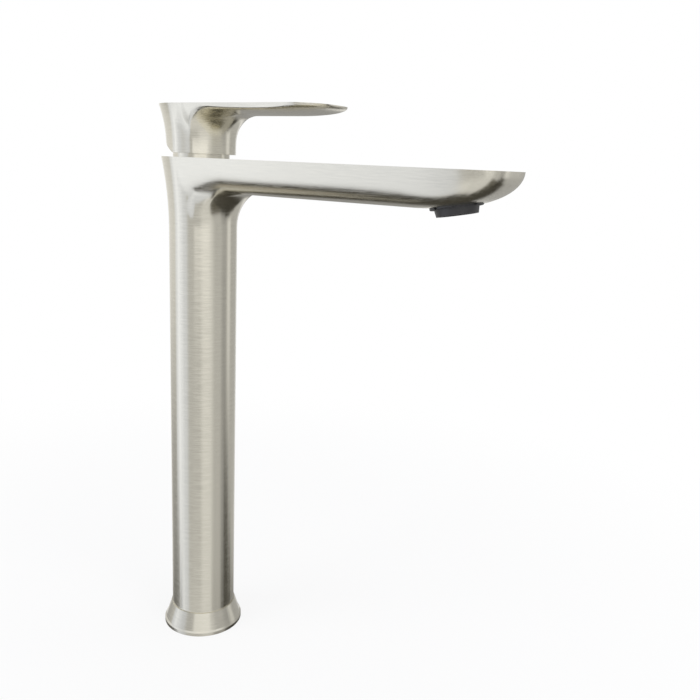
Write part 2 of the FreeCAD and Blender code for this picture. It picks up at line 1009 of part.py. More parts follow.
spanner_slots = [
    spanner_slot("spanner_slot_along", SLOT_RUN, "spanner_slot_width"),
    spanner_slot("spanner_slot_across", "spanner_slot_width", SLOT_RUN),
]
keep("retaining_nut", cut("nut_body", nut_blank, *spanner_slots))
keep(
    "collar",
    turned(
        "collar_body",
        [
            ("collar_bore + collar_recess", "head_top + face_gap"),
            ("collar_radius", "head_top + face_gap"),
            ("collar_radius", "collar_top - collar_bevel"),
            ("collar_radius - collar_bevel", "collar_top"),
            ("collar_bore", "collar_top"),
            ("collar_bore", "collar_top - collar_lip"),
            ("collar_bore + collar_groove_depth", "collar_top - collar_lip"),
            ("collar_bore + collar_groove_depth", "collar_top - collar_groove_drop"),
            ("collar_bore + collar_recess", "collar_top - collar_groove_drop"),
        ],
    ),
)
keep(
    "collar_seal",
    ring(
        "collar_seal_ring",
        "neck_radius + collar_seal_section + running_gap",
        "collar_seal_section",
        "valve_offset",
        "0",
        "collar_top - (collar_lip + collar_groove_drop) / 2",
    ),
)

# ---------------------------------------------------------------- spindle and handle, leaning at the pivot

def on_spindle(thing):
    """Put a piece drawn along the spindle's own axis onto the pivot."""
    return lean(thing, "spindle_lean", "valve_offset", "pivot_level")


ball = doc.addObject("Part::Sphere", "spindle_ball")
bind(ball, Radius="ball_radius")
move(ball, "0", "0", "-spindle_arm")
spindle_blank = fuse(
    "spindle_blank",
    ball,
    cylinder("spindle_arm_rod", "arm_radius", "spindle_arm", z="-spindle_arm"),
    box(
        "spindle_square",
        "2 * spindle_half",
        "2 * spindle_half",
        "spindle_foot + spindle_reach",
        "-spindle_half",
        "-spindle_foot",
    ),
)
pin_hole = lying_cylinder(
    "spindle_pin_hole",
    "pin_radius + 2 * fit_gap",
    "2 * pin_hole_reach",
    (0, 1, 0),
    "0",
    "-pin_hole_reach",
    "0",
)
keep("spindle", on_spindle(cut("spindle_body", spindle_blank, pin_hole)))

BUSH_SQUARE = "2 * (spindle_half + bush_square_gap)"
bush_blank = cylinder("bush_blank", "bush_radius", "bush_reach - bush_foot", z="bush_foot")
bush_square = box(
    "bush_square",
    BUSH_SQUARE,
    BUSH_SQUARE,
    "spindle_reach - bush_foot + overcut + bush_roof_gap",
    "-spindle_half - bush_square_gap",
    "bush_foot - overcut",
)
bush_hole = lying_cylinder(
    "bush_screw_hole",
    "screw_radius + running_gap",
    "bush_radius + overcut",
    (-1, 0, 0),
    "0",
    "0",
    "screw_level",
)
keep("handle_bush", on_spindle(cut("bush_body", bush_blank, bush_square, bush_hole)))

HANDLE_RISE = "(handle_top - handle_flare_start)"
HANDLE_HEAD = f"(handle_radius + handle_flare_radius - sqrt(handle_flare_radius^2 - {HANDLE_RISE}^2))"
handle_stem = turned(
    "handle_stem",
    [
        ("0", "handle_foot"),
        ("handle_radius", "handle_foot"),
        ("handle_radius", "handle_flare_start", (None, "handle_flare_start")),
        (HANDLE_HEAD, "handle_top"),
        ("0", "handle_top"),
    ],
)
LEVER_BELLY = "(handle_top - lever_depth)"
FRONT_HALF = "(lever_half_width - lever_corner)"
FRONT_BACK = f"(lever_reach - lever_front_radius + sqrt(lever_front_radius^2 - {FRONT_HALF}^2))"
plan = doc.addObject("PartDesign::Body", "lever_plan")
plan_outline = sketch_on(
    plan,
    "lever_plan_outline",
    "XY_Plane",
    [
        ("valve_offset", "-lever_root_half_width"),
        ("lever_narrows_at", "-lever_half_width"),
        (f"{FRONT_BACK} - lever_corner", "-lever_half_width", (f"{FRONT_BACK} - lever_corner", None)),
        (FRONT_BACK, "lever_corner - lever_half_width", ("lever_reach - lever_front_radius", None)),
        (FRONT_BACK, "lever_half_width - lever_corner", (f"{FRONT_BACK} - lever_corner", None)),
        (f"{FRONT_BACK} - lever_corner", "lever_half_width"),
        ("lever_narrows_at", "lever_half_width"),
        ("valve_offset", "lever_root_half_width"),
    ],
)
plan_pad = plan.newObject("PartDesign::Pad", "lever_plan_pad")
plan_pad.Profile = (plan_outline, [""])
bind(plan_pad, Length="lever_depth + overcut")
move(plan, "0", "0", f"{LEVER_BELLY} - overcut")

nose_oval = doc.addObject("Part::Ellipse", "lever_nose_oval")
bind(nose_oval, MajorRadius="lever_reach + lever_nose_margin - lever_keel_start", MinorRadius="lever_depth")
nose_oval.Placement = FreeCAD.Placement(Vector(), FreeCAD.Rotation(Vector(1, 0, 0), 90))
move(nose_oval, "lever_keel_start", "handle_span / 2", "handle_top")
nose = doc.addObject("Part::Extrusion", "lever_nose")
nose.Base = nose_oval
nose.DirMode = "Custom"
nose.Dir = Vector(0, -1, 0)
nose.Solid = True
bind(nose, LengthFwd="handle_span")
lever_side = fuse(
    "lever_side",
    nose,
    box(
        "lever_run",
        "lever_keel_start - valve_offset",
        "handle_span",
        "lever_depth",
        x="valve_offset",
        z=LEVER_BELLY,
    ),
)
lever_crown = bar(
    "lever_crown",
    [
        ("-lever_crown_half_width", "handle_top"),
        ("-lever_crown_half_width", "handle_top - lever_edge", (None, f"{LEVER_BELLY} + lever_crown_radius")),
        ("lever_crown_half_width", "handle_top - lever_edge"),
        ("lever_crown_half_width", "handle_top"),
    ],
    "lever_reach - valve_offset + overcut",
    x="valve_offset",
)
lever = common("lever", plan, lever_side, lever_crown)
handle_neck = neck(
    "handle_neck",
    "lever_elbow",
    "valve_offset + handle_radius + neck_step",
    f"({LEVER_BELLY} + lever_neck_lift)",
    "lever_neck_half_width",
    "lever_neck_growth",
    "lever_neck_back",
)
shell = fuse("handle_outer", handle_stem, lever, handle_neck)

# the back of the skirt is cut on a slope, so that it clears the head when the lever lifts
back_cut = slab(
    "back_cut",
    [
        ("valve_offset - back_cut_start", "handle_foot - overcut"),
        ("valve_offset - back_cut_start", "handle_foot"),
        (
            "valve_offset - handle_span / 2",
            "handle_foot + (handle_span / 2 - back_cut_start) * tan(back_cut_angle)",
        ),
        ("valve_offset - handle_span / 2", "handle_foot - overcut"),
    ],
    "handle_span / 2",
)
skirt = cylinder(
    "skirt_space",
    "skirt_bore",
    "skirt_roof - handle_foot + overcut",
    "valve_offset",
    "0",
    "handle_foot - overcut",
)
hollow_shell = cut("handle_hollow", shell, skirt)
boss_round = cylinder("boss_round", "boss_radius", "bush_reach - bush_foot + boss_head", z="bush_foot")
boss = on_spindle(group("handle_boss", boss_round))
rib = on_spindle(
    group(
        "screw_rib",
        box(
            "screw_rib_block",
            "screw_rib_reach",
            "screw_rib_width",
            "bush_reach - screw_level + screw_rib_foot + screw_rib_head",
            "-screw_rib_reach",
            "screw_level - screw_rib_foot",
        ),
    )
)
bush_space = on_spindle(
    group(
        "bush_space",
        cylinder(
            "bush_bore",
            "bush_radius + fit_gap",
            "bush_reach - bush_foot + overcut + running_gap",
            z="bush_foot - overcut",
        ),
    )
)
screw_space = on_spindle(
    fuse(
        "screw_space",
        lying_cylinder(
            "screw_thread",
            "screw_radius",
            "screw_space_reach - bush_radius + overcut",
            (-1, 0, 0),
            "overcut - bush_radius",
            "0",
            "screw_level",
        ),
        lying_cylinder(
            "plug_seat",
            "plug_radius + running_gap",
            "screw_space_reach - plug_start",
            (-1, 0, 0),
            "-plug_start",
            "0",
            "screw_level",
        ),
    )
)
handle_blank = fuse("handle_blank", hollow_shell, boss, rib)
keep("handle", cut("handle_body", handle_blank, back_cut, bush_space, screw_space))

socket = doc.addObject("Part::Prism", "screw_socket")
socket.Polygon = 6
socket.Placement = FreeCAD.Placement(Vector(), FreeCAD.Rotation(Vector(0, 0, 1), Vector(-1, 0, 0)))
bind(socket, Circumradius="socket_radius", Height="socket_depth + overcut")
move(socket, "socket_depth - spindle_half - screw_length", "0", "screw_level")
screw_rod = lying_cylinder(
    "screw_rod",
    "screw_radius - fit_gap",
    "screw_length - running_gap",
    (-1, 0, 0),
    "-spindle_half - running_gap",
    "0",
    "screw_level",
)
keep("set_screw", on_spindle(cut("screw_body", screw_rod, socket)))
keep(
    "screw_plug",
    on_spindle(
        fuse(
            "plug_body",
            lying_cylinder(
                "plug_head",
                "plug_radius",
                "plug_depth",
                (-1, 0, 0),
                "-plug_start - fit_gap",
                "0",
                "screw_level",
            ),
            lying_cylinder(
                "plug_stem",
                "plug_stem_radius",
                "plug_stem_length + running_gap",
                (-1, 0, 0),
                "plug_stem_length - plug_start",
                "0",
                "screw_level",
            ),
        )
    ),
)

# ---------------------------------------------------------------- swivelling outlet, on its own leaning axis

def on_outlet(thing):
    """Put a piece drawn along the outlet's own axis onto the spout."""
    return lean(thing, "-nozzle_tilt", "nozzle_x", "nozzle_z")


def ball_at(radius, level):
    """The radius of the swivel ball, or of its seat, at a level."""
    return f"sqrt(({radius})^2 - (ball_centre - ({level}))^2)"


SEAT = "swivel_radius + running_gap"
LIP = "holder_bottom + holder_lip"
SHELF = "swivel_radius + seal_shelf"
KEY_SLOT_TURNS = (22.5, 67.5, 112.5, 157.5)


def key_slots():
    """Slots right across the holder's rim, where a key grips it to screw it in."""
    slots = []
    for turn in KEY_SLOT_TURNS:
        slot = box(
            "key_slot_bar",
            "2 * holder_radius + 2 * overcut",
            "key_slot_width",
            "key_slot_depth + overcut",
            x="-holder_radius - overcut",
            z="holder_bottom - overcut",
        )
        turned_slot = group("key_slot", slot)
        turned_slot.Placement = FreeCAD.Placement(Vector(), FreeCAD.Rotation(Vector(0, 0, 1), turn))
        slots.append(turned_slot)
    return slots


keep(
    "aerator_holder",
    on_outlet(
        cut(
            "holder_body",
            turned(
                "holder_blank",
                [
                    ("holder_mouth_radius", "holder_bottom"),
                    ("holder_radius - holder_chamfer", "holder_bottom"),
                    ("holder_radius", "holder_bottom + holder_chamfer"),
                    ("holder_radius", "holder_top"),
                    (SHELF, "holder_top"),
                    (SHELF, "holder_top - seal_shelf_depth"),
                    (SEAT, "holder_top - seal_shelf_depth"),
                    (SEAT, "ball_centre", ("0", None)),
                    (ball_at(SEAT, LIP), LIP),
                    ("holder_throat_radius", LIP),
                ],
                x="0",
            ),
            *key_slots(),
        )
    ),
)
keep(
    "nozzle",
    on_outlet(
        turned(
            "nozzle_body",
            [
                ("nozzle_bore", "0"),
                ("nozzle_mouth", "0"),
                ("nozzle_waist", "nozzle_waist_height"),
                (ball_at("swivel_radius", "nozzle_waist_height"), "nozzle_waist_height", ("0", None)),
                (ball_at("swivel_radius", "nozzle_top"), "nozzle_top"),
                ("nozzle_bore - nozzle_stop", "nozzle_top"),
                ("nozzle_bore - nozzle_stop", "regulator_top + running_gap"),
                ("nozzle_bore", "regulator_top + running_gap"),
            ],
            x="0",
        )
    ),
)
seal_ring = ring("seal_ring", "aerator_seal_radius", "aerator_seal_section", z="holder_top")
keep("aerator_seal", on_outlet(group("seal_body", seal_ring)))


CELL_RINGS = 2


def honeycomb(name, radius, spacing, height, level):
    """Upright cylinders in rings of a hexagonal pattern round a middle one."""
    cells = []
    for row in range(-CELL_RINGS, CELL_RINGS + 1):
        in_row = 2 * CELL_RINGS + 1 - abs(row)
        for column in range(in_row):
            across = f"{spacing} * {column - (in_row - 1) / 2}"
            along = f"{spacing} * {row} * sqrt(3) / 2"
            cell = f"{name}_{row + CELL_RINGS}_{column}"
            cells.append(cylinder(cell, radius, height, across, along, level))
    return cells


keep(
    "flow_straightener",
    on_outlet(
        cut(
            "grid_body",
            cylinder(
                "grid_blank",
                "nozzle_bore - running_gap",
                "regulator_top - regulator_height - grid_gap - grid_foot",
                z="grid_foot",
            ),
            *honeycomb("grid_cell", "grid_hole", "grid_spacing", "regulator_top", "grid_foot - overcut"),
        )
    ),
)
keep(
    "flow_regulator",
    on_outlet(
        turned(
            "regulator_body",
            [
                ("regulator_bore", "regulator_top - regulator_height"),
                ("nozzle_bore - running_gap", "regulator_top - regulator_height"),
                ("nozzle_bore - running_gap", "regulator_top"),
                ("regulator_mouth", "regulator_top"),
                ("regulator_step_radius", "regulator_top - regulator_step"),
                ("regulator_bore", "regulator_top - regulator_step"),
            ],
            x="0",
        )
    ),
)

# ---------------------------------------------------------------- check and write

doc.recompute()
failed = [thing.Name for thing in doc.Objects if "Invalid" in thing.State or "Error" in thing.State]
if failed:
    raise RuntimeError(f"these objects failed: {failed}")
for name, thing in parts.items():
    shape = thing.Shape
    if shape.isNull() or not shape.isValid():
        raise RuntimeError(f"{name} has no valid shape")
for name, thing in parts.items():
    thing.Shape.exportStep(f"parts/{name}.step")
    print(f"{name}: {len(thing.Shape.Solids)} solid(s), {thing.Shape.Volume:.0f} mm3")
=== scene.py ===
# %% [markdown]
# # A tall basin faucet in brushed nickel
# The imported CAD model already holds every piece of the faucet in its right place. This script
# keeps that frame, gives each piece its finish, and remakes the two big castings, the body and
# the lever, as smooth skins, because a bright metal shows every facet and every crease in its
# reflections.

import bpy
import bmesh
import math
import numpy as np
from mathutils import Matrix, Vector


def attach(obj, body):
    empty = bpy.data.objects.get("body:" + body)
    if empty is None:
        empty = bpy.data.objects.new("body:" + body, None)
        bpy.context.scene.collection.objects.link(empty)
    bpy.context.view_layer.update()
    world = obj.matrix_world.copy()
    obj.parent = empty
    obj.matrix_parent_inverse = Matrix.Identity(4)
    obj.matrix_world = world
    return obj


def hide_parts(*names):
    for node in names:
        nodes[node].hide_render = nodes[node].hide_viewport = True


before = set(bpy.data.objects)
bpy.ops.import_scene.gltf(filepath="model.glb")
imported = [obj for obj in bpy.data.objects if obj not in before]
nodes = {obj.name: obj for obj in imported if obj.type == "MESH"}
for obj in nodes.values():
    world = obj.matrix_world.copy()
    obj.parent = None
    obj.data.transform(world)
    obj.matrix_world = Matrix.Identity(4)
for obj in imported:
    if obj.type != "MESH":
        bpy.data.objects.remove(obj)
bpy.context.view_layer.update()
MM = 0.001
print("pieces in the frame:", len(nodes))

# %% [markdown]
# ## Shapes written as distances
# The body is a flared column with a boat-shaped spout growing out of it, and the corner between
# them is one soft hollow. Modelling that by hand with loops of vertices makes the hollow hard to
# keep even. A distance field is easier: each simple form is a formula that is negative inside and
# zero on the skin, and a soft minimum melts two forms together with a fillet. All formulas here
# are in millimetres.

# %% Soft minimum, smooth step and superellipse
TINY = 1e-6


def soft_min(a, b, reach):
    """The smaller of two distances, with a fillet where they are nearly the same."""
    share = np.clip(0.5 + 0.5 * (b - a) / np.maximum(reach, TINY), 0, 1)
    return b * (1 - share) + a * share - reach * share * (1 - share)


def smooth_step(value, start, end):
    share = np.clip((value - start) / (end - start), 0, 1)
    return share * share * (3 - 2 * share)


def superellipse(first, second, fullness):
    """Size of a point against a superellipse, 1 on its line; a larger fullness is boxier."""
    return np.maximum((first**fullness + second**fullness) ** (1 / fullness), TINY)


print("a fillet of 4 mm fills its corner by", -soft_min(0, 0, 4), "mm")

# %% A flare and a boat hull
COLUMN_RADIUS, HEAD_TOP = 20.0, 300.0
HEAD_FLARE = (258.0, 220.0)  # where the head's flare starts, and the radius of its arc


def flared(z, start, radius):
    """The column's radius, which opens out along an arc above a height."""
    rise = np.clip(z - start, 0, 0.9 * radius)
    return COLUMN_RADIUS + radius - np.sqrt(radius * radius - rise * rise)


def hull(across, keel, ahead, half, depth, length, full, keel_full):
    """Distance to a boat hull: a superellipse across, with a keel that rises to the tip."""
    side = np.abs(across) / half
    below = np.clip(keel, 0, None) / depth
    nose = np.clip(ahead, 0, None) / length
    end = superellipse(nose, below, keel_full)
    size = superellipse(side, end, full)
    slope_end = (end / size) ** (full - 1)
    slope = np.sqrt(
        ((side / size) ** (full - 1) / half) ** 2
        + (slope_end * (nose / end) ** (keel_full - 1) / length) ** 2
        + (slope_end * (below / end) ** (keel_full - 1) / depth) ** 2
    )
    return (size - 1) / np.maximum(slope, TINY)


print("head radius (mm):", flared(HEAD_TOP, *HEAD_FLARE))

# %% The body's skin
SPOUT_DEPTH, SPOUT_TIP, KEEL_START = 19.0, 195.6, 148.1
SPOUT_INSET = 0.2  # how much narrower the spout is than the head, on each side
SPOUT_FULL, SPOUT_KEEL_FULL = 4.07, 2.12
ROOT_EXTRA, ROOT_END = 8.0, 34.0  # the spout is deeper beside the column
ELBOW_FILLET, SEAM_FILLET, FILLET_GROWN = 15.7, 2.4, 12
LEVEL_CHANGE = 0.5  # how far two skins must turn from each other for the whole fillet
BLEND_END, BLEND_BOTTOM = 70, 225  # the only part of space where column and spout meet
GRADIENT_STEP = 0.02


def column_field(x, y, z):
    return np.hypot(x, y) - flared(z, *HEAD_FLARE)


def spout_field(x, y, z):
    half = flared(z, *HEAD_FLARE) - SPOUT_INSET
    depth = SPOUT_DEPTH + ROOT_EXTRA * (1 - smooth_step(x, 0.0, ROOT_END))
    length = SPOUT_TIP - KEEL_START
    return hull(y, HEAD_TOP - z, x - KEEL_START, half, depth, length, SPOUT_FULL, SPOUT_KEEL_FULL)


def gradient(field, x, y, z, step=GRADIENT_STEP):
    return np.stack([
        (field(x + step, y, z) - field(x - step, y, z)) / (2 * step),
        (field(x, y + step, z) - field(x, y - step, z)) / (2 * step),
        (field(x, y, z + step) - field(x, y, z - step)) / (2 * step),
    ], -1)


def body_field(x, y, z):
    """Column and spout melted together; where both skins run level, only a seam is filled."""
    column, spout = column_field(x, y, z), spout_field(x, y, z)
    near = (x > 0) & (x < BLEND_END) & (z > BLEND_BOTTOM)
    blended = np.where(x < 0, column, np.minimum(column, spout))
    px, py, pz = x[near], y[near], z[near]
    level = (gradient(column_field, px, py, pz) * gradient(spout_field, px, py, pz)).sum(-1)
    grown = smooth_step(px, 0, FILLET_GROWN)
    elbow = ELBOW_FILLET * grown * smooth_step(1 - level, 0, LEVEL_CHANGE)
    reach = np.maximum(elbow, SEAM_FILLET * grown)
    blended[near] = soft_min(column[near], spout[near], reach)
    return blended


print("spout's length from the column's axis (mm):", SPOUT_TIP)

# %% The lever's skin
STEM_X, HANDLE_FOOT, HANDLE_TOP = -1.5, 302.4, 329.0
STEM_FLARE = (305.0, 74.0)
PADDLE_HALF, PADDLE_TIP = 20.9, 95.6
PADDLE_DEPTH, PADDLE_KEEL_START = 4.84, 60.2
PADDLE_FULL, PADDLE_KEEL_FULL = 2.65, 2.26
PADDLE_SPREAD = 1.132  # the belly's hull is wider than the lever, whose wall trims it
PADDLE_ROOT_EXTRA, PADDLE_ROOT_END = 5.0, 20.0
PADDLE_BACK = STEM_X - 4.0
LEVER_FILLET, LEVER_FILLET_GROWN = 12.1, 10.0
WALL_NARROWS, WALL_NOSE_START, WALL_NOSE, WALL_FULL = 60, 87.6, 8.0, 8
EDGE_ROUND, EDGE_ROUND_EXTRA, EDGE_ROUND_GROWN = 1.2, 4.0, 8.0
EDGE_CRISP = (2.0, 13.0)  # the range of X over which the soft edge turns crisp
BACK_SLOPE, BACK_SLOPE_START = math.radians(29.5), -5.0


def stem_field(x, y, z):
    return np.hypot(x - STEM_X, y) - flared(z, *STEM_FLARE)


def lever_underside(x, y, z):
    """The stem and the paddle's belly; behind the stem's axis there is only the stem."""
    depth = PADDLE_DEPTH + PADDLE_ROOT_EXTRA * (1 - smooth_step(x, STEM_X, PADDLE_ROOT_END))
    length = PADDLE_TIP - PADDLE_KEEL_START
    half = PADDLE_HALF * PADDLE_SPREAD
    paddle = hull(
        y, HANDLE_TOP - z, x - PADDLE_KEEL_START, half, depth, length, PADDLE_FULL, PADDLE_KEEL_FULL
    )
    reach = LEVER_FILLET * smooth_step(x, PADDLE_BACK, LEVER_FILLET_GROWN)
    return soft_min(stem_field(x, y, z), np.maximum(paddle, PADDLE_BACK - x), reach)


def lever_wall(x, y, z):
    """The upright side of the lever: it leaves the stem's flare and narrows a little to the tip."""
    stem = flared(z, *STEM_FLARE)
    half = stem + (np.minimum(PADDLE_HALF, stem) - stem) * smooth_step(x - STEM_X, 0, WALL_NARROWS)
    side, nose = np.abs(y) / half, np.clip(x - WALL_NOSE_START, 0, None) / WALL_NOSE
    size = superellipse(side, nose, WALL_FULL)
    slope = np.sqrt(
        ((side / size) ** (WALL_FULL - 1) / half) ** 2
        + ((nose / size) ** (WALL_FULL - 1) / WALL_NOSE) ** 2
    )
    return np.where(x < STEM_X, stem_field(x, y, z), (size - 1) / np.maximum(slope, TINY))


def lever_side(x, y, z):
    """Wall and underside as one skin: the edge is soft beside the stem and crisp further on."""
    rounding = EDGE_ROUND + EDGE_ROUND_EXTRA * (1 - smooth_step(x, *EDGE_CRISP))
    reach = rounding * smooth_step(x, STEM_X, EDGE_ROUND_GROWN)
    return -soft_min(-lever_underside(x, y, z), -lever_wall(x, y, z), reach)


def back_cut(x, y, z):
    """The slope at the back of the skirt, which lets the lever lift."""
    floor_height = HANDLE_FOOT + (BACK_SLOPE_START - x) * math.tan(BACK_SLOPE)
    return (floor_height - z) * math.cos(BACK_SLOPE)


print("lever's height over the head (mm):", round(HANDLE_TOP - HEAD_TOP, 1))

# %% [markdown]
# ## From a distance field to a clean skin
# A net of quads is laid through the cells of a grid that the skin passes through, then every
# point slides down the field's gradient until it lies on the skin. A point close to the edge
# between two skins is pulled onto both at once, so the edge stays crisp, and the shading normals
# come from the fields themselves. That is why the highlights run smoothly over a plain net.

# %% Lay a net over a solid
def lay_net(fields, low, high, step):
    """Points and quads round the cells that the skin of several joined fields passes through."""
    low = np.array(low, float)
    counts = np.ceil((np.array(high) - low) / step).astype(int) + 1
    axes = [low[i] + step * np.arange(counts[i]) for i in range(3)]
    grid = np.meshgrid(*axes, indexing="ij")
    values = np.max([field(*grid) for field in fields], axis=0)
    inside = values < 0
    total = np.zeros(counts - 1, int)
    for shift in np.ndindex(2, 2, 2):
        total += inside[tuple(slice(s, s + n - 1) for s, n in zip(shift, counts))]
    crossed = (total > 0) & (total < 8)
    cells = np.argwhere(crossed)
    numbers = np.full(crossed.shape, -1)
    numbers[crossed] = np.arange(len(cells))
    centre, hits, quads = np.zeros((len(cells), 3)), np.zeros(len(cells)), []
    for axis in range(3):
        # each cell's point is the mean of where the skin crosses the cell's edges
        others = [i for i in range(3) if i != axis]
        unit = np.eye(3, dtype=int)[axis]
        for shift in np.ndindex(2, 2):
            start = cells.copy()
            start[:, others] += shift
            a, b = values[tuple(start.T)], values[tuple((start + unit).T)]
            share = a / np.where(a == b, 1, a - b)
            met = (a < 0) != (b < 0)
            centre[met] += start[met] + share[met, None] * unit
            hits += met
        # and each crossed edge of the grid gets a quad between the four cells round it
        a, b = np.moveaxis(inside, axis, 0)[:-1], np.moveaxis(inside, axis, 0)[1:]
        ring = np.moveaxis(numbers, axis, 0)
        edge = np.argwhere(a[:, 1:-1, 1:-1] != b[:, 1:-1, 1:-1])
        i, j, k = edge[:, 0], edge[:, 1] + 1, edge[:, 2] + 1
        around = [ring[i, j - 1, k - 1], ring[i, j, k - 1], ring[i, j, k], ring[i, j - 1, k]]
        quad = np.stack(around, -1)
        turn = a[i, j, k] == (axis == 1)
        quad[turn] = quad[turn][:, ::-1]
        quads.append(quad)
    return low + step * centre / hits[:, None], np.concatenate(quads)


def ball(x, y, z):
    return np.sqrt(x * x + y * y + z * z) - 3


print("quads round a test ball:", len(lay_net([ball], (-5, -5, -5), (5, 5, 5), 1.0)[1]))

# %% Pull the net tight
EDGE_SHARE = 0.7  # a point this share of a cell away from a second skin belongs to the edge
DAMPING = 1e-5
PULL_ROUNDS = 12


def pull_tight(points, fields, step):
    """Move points onto the skin, and onto the edge where they are near two skins."""
    values = np.array([field(*points.T) for field in fields])
    active = (values > values.max(0) - EDGE_SHARE * step).T
    for _ in range(PULL_ROUNDS):
        values = np.stack([field(*points.T) for field in fields], -1) * active
        slopes = np.stack([gradient(field, *points.T) for field in fields], 1) * active[:, :, None]
        damping = np.eye(len(fields)) * np.where(active, DAMPING, 1.0)[:, :, None]
        square = slopes @ slopes.transpose(0, 2, 1) + damping
        shift = np.linalg.solve(square, values[:, :, None])
        move = (slopes.transpose(0, 2, 1) @ shift)[:, :, 0]
        length = np.linalg.norm(move, axis=1, keepdims=True)
        points = points - move * np.minimum(1, step / np.maximum(length, 1e-9))
    return points


def add_object(name, data):
    made = bpy.data.objects.new(name, data)
    bpy.context.scene.collection.objects.link(made)
    return made


def skin_mesh(name, fields, low, high, step):
    points, quads = lay_net(fields, low, high, step)
    points = pull_tight(points, fields, step)
    worst = np.abs(np.max([field(*points.T) for field in fields], axis=0)).max()
    print(f"{name}: {len(quads)} quads, worst distance from the skin {worst:.3f} mm")
    mesh = bpy.data.meshes.new(name)
    mesh.from_pydata((points * MM).tolist(), [], quads.tolist())
    mesh.validate()
    return add_object(name, mesh)


BODY_SKINS = [body_field, lambda x, y, z: z - HEAD_TOP, lambda x, y, z: -z]
LEVER_SKINS = [
    lever_side, lambda x, y, z: z - HANDLE_TOP, lambda x, y, z: HANDLE_FOOT - z, back_cut,
]
BODY_GRID = ((-27.3, -27.4, -2.3), (199, 27.4, 302.1), 1.25)  # two corners and the cells' size
LEVER_GRID = ((-28.2, -27.3, 300.1), (98.6, 27.3, 331.2), 0.8)
body = skin_mesh("faucet_body", BODY_SKINS, *BODY_GRID)
lever = skin_mesh("faucet_lever", LEVER_SKINS, *LEVER_GRID)

# %% [markdown]
# ## Bores and pockets
# The casting is hollow: hoses run up the column, the valve sits in the head and the outlet's
# black holder is let into the belly. Plain turned solids, cut away with booleans, leave those
# spaces open, so the inner pieces of the frame stay in air and the faucet looks right from below
# too.

# %% Turned solids
AROUND = 96


def turned(name, corners, place=Matrix.Identity(4)):
    """A closed solid turned from (radius, height) corners in millimetres."""
    builder = bmesh.new()
    rings = []
    turns = [2 * math.pi * i / AROUND for i in range(AROUND)]
    for radius, height in corners:
        if radius == 0:
            rings.append([builder.verts.new((0, 0, height * MM))] * AROUND)
            continue
        rings.append([
            builder.verts.new((radius * MM * math.cos(t), radius * MM * math.sin(t), height * MM))
            for t in turns
        ])
    for low, high in zip(rings, rings[1:] + rings[:1]):
        for i in range(AROUND):
            j = (i + 1) % AROUND
            loop = list(dict.fromkeys([low[i], low[j], high[j], high[i]]))
            if len(loop) > 2:
                builder.faces.new(loop)
    bmesh.ops.recalc_face_normals(builder, faces=builder.faces)
    mesh = bpy.data.meshes.new(name)
    builder.to_mesh(mesh)
    builder.free()
    mesh.transform(place)
    return add_object(name, mesh)


print("sides of a turned solid:", AROUND)

# %% Carve the body
def settle(piece):
    """Turn a piece's modifiers into plain mesh."""
    bpy.context.view_layer.update()
    evaluated = piece.evaluated_get(bpy.context.evaluated_depsgraph_get())
    finished = bpy.data.meshes.new_from_object(evaluated)
    piece.modifiers.clear()
    piece.data = finished


def carve(piece, tools, operation="DIFFERENCE"):
    for tool in tools:
        cutting = piece.modifiers.new("cut", "BOOLEAN")
        cutting.operation = operation
        cutting.solver = "EXACT"
        cutting.object = tool
        settle(piece)
        bpy.data.objects.remove(tool)


# where the valve stands, and where the outlet sits in the belly with its tilt
VALVE = Matrix.Translation((STEM_X * MM, 0, 0))
OUTLET_TILT, SPINDLE_TILT = math.radians(-11.1), math.radians(12.0)
OUTLET = Matrix.Translation((167.76 * MM, 0, 278.75 * MM)) @ Matrix.Rotation(OUTLET_TILT, 4, "Y")
HOSE_RADIUS, MANIFOLD_RADIUS, CARTRIDGE_RADIUS, NUT_RADIUS = 16, 11.95, 13.05, 15
SPIGOT_INNER, SPIGOT_OUTER, HOLDER_RADIUS = 18.5, 21, 12.95
carve(body, [
    turned("hose_bore", [
        (0, -1), (HOSE_RADIUS, -1), (HOSE_RADIUS, 238), (MANIFOLD_RADIUS, 244), (0, 244),
    ]),
    turned("valve_bore", [
        (0, 243.5), (MANIFOLD_RADIUS, 243.5), (MANIFOLD_RADIUS, 252), (CARTRIDGE_RADIUS, 252),
        (CARTRIDGE_RADIUS, 293), (NUT_RADIUS, 293), (NUT_RADIUS, 301), (0, 301),
    ], VALVE),
    turned("spigot", [
        (SPIGOT_INNER, -1), (SPIGOT_OUTER, -1), (SPIGOT_OUTER, 4), (SPIGOT_INNER, 4),
    ]),
    turned("holder_seat", [(0, -3), (HOLDER_RADIUS, -3), (HOLDER_RADIUS, 15.7), (0, 15.7)], OUTLET),
])
print("body after carving:", len(body.data.polygons), "faces")

# %% The lever's hollow skirt, its boss and the screw's passage
def cylinder(name, radius, bottom, top, place):
    """A plain cylinder between two heights, in millimetres along the place's own axis."""
    return turned(name, [(0, bottom), (radius, bottom), (radius, top), (0, top)], place)


SPINDLE = Matrix.Translation((STEM_X * MM, 0, 298.0 * MM)) @ Matrix.Rotation(SPINDLE_TILT, 4, "Y")
BACKWARD = Matrix.Rotation(math.radians(-90), 4, "Y")
ALONG_SCREW = SPINDLE @ Matrix.Translation((0, 0, 15.0 * MM)) @ BACKWARD
carve(lever, [cylinder("skirt", 17.3, 301, 318, VALVE)])
boss = cylinder("boss", 8.6, 8.2, 24, SPINDLE)
rib = cylinder("rib", 4.4, 3, 20, ALONG_SCREW)
carve(lever, [boss, rib], "UNION")
carve(lever, [
    cylinder("bush_bore", 6.32, 7, 22.1, SPINDLE),
    cylinder("screw_bore", 2.5, 5, 30, ALONG_SCREW),
    cylinder("plug_bore", 3.25, 22.4, 30, ALONG_SCREW),
])
print("lever after carving:", len(lever.data.polygons), "faces")

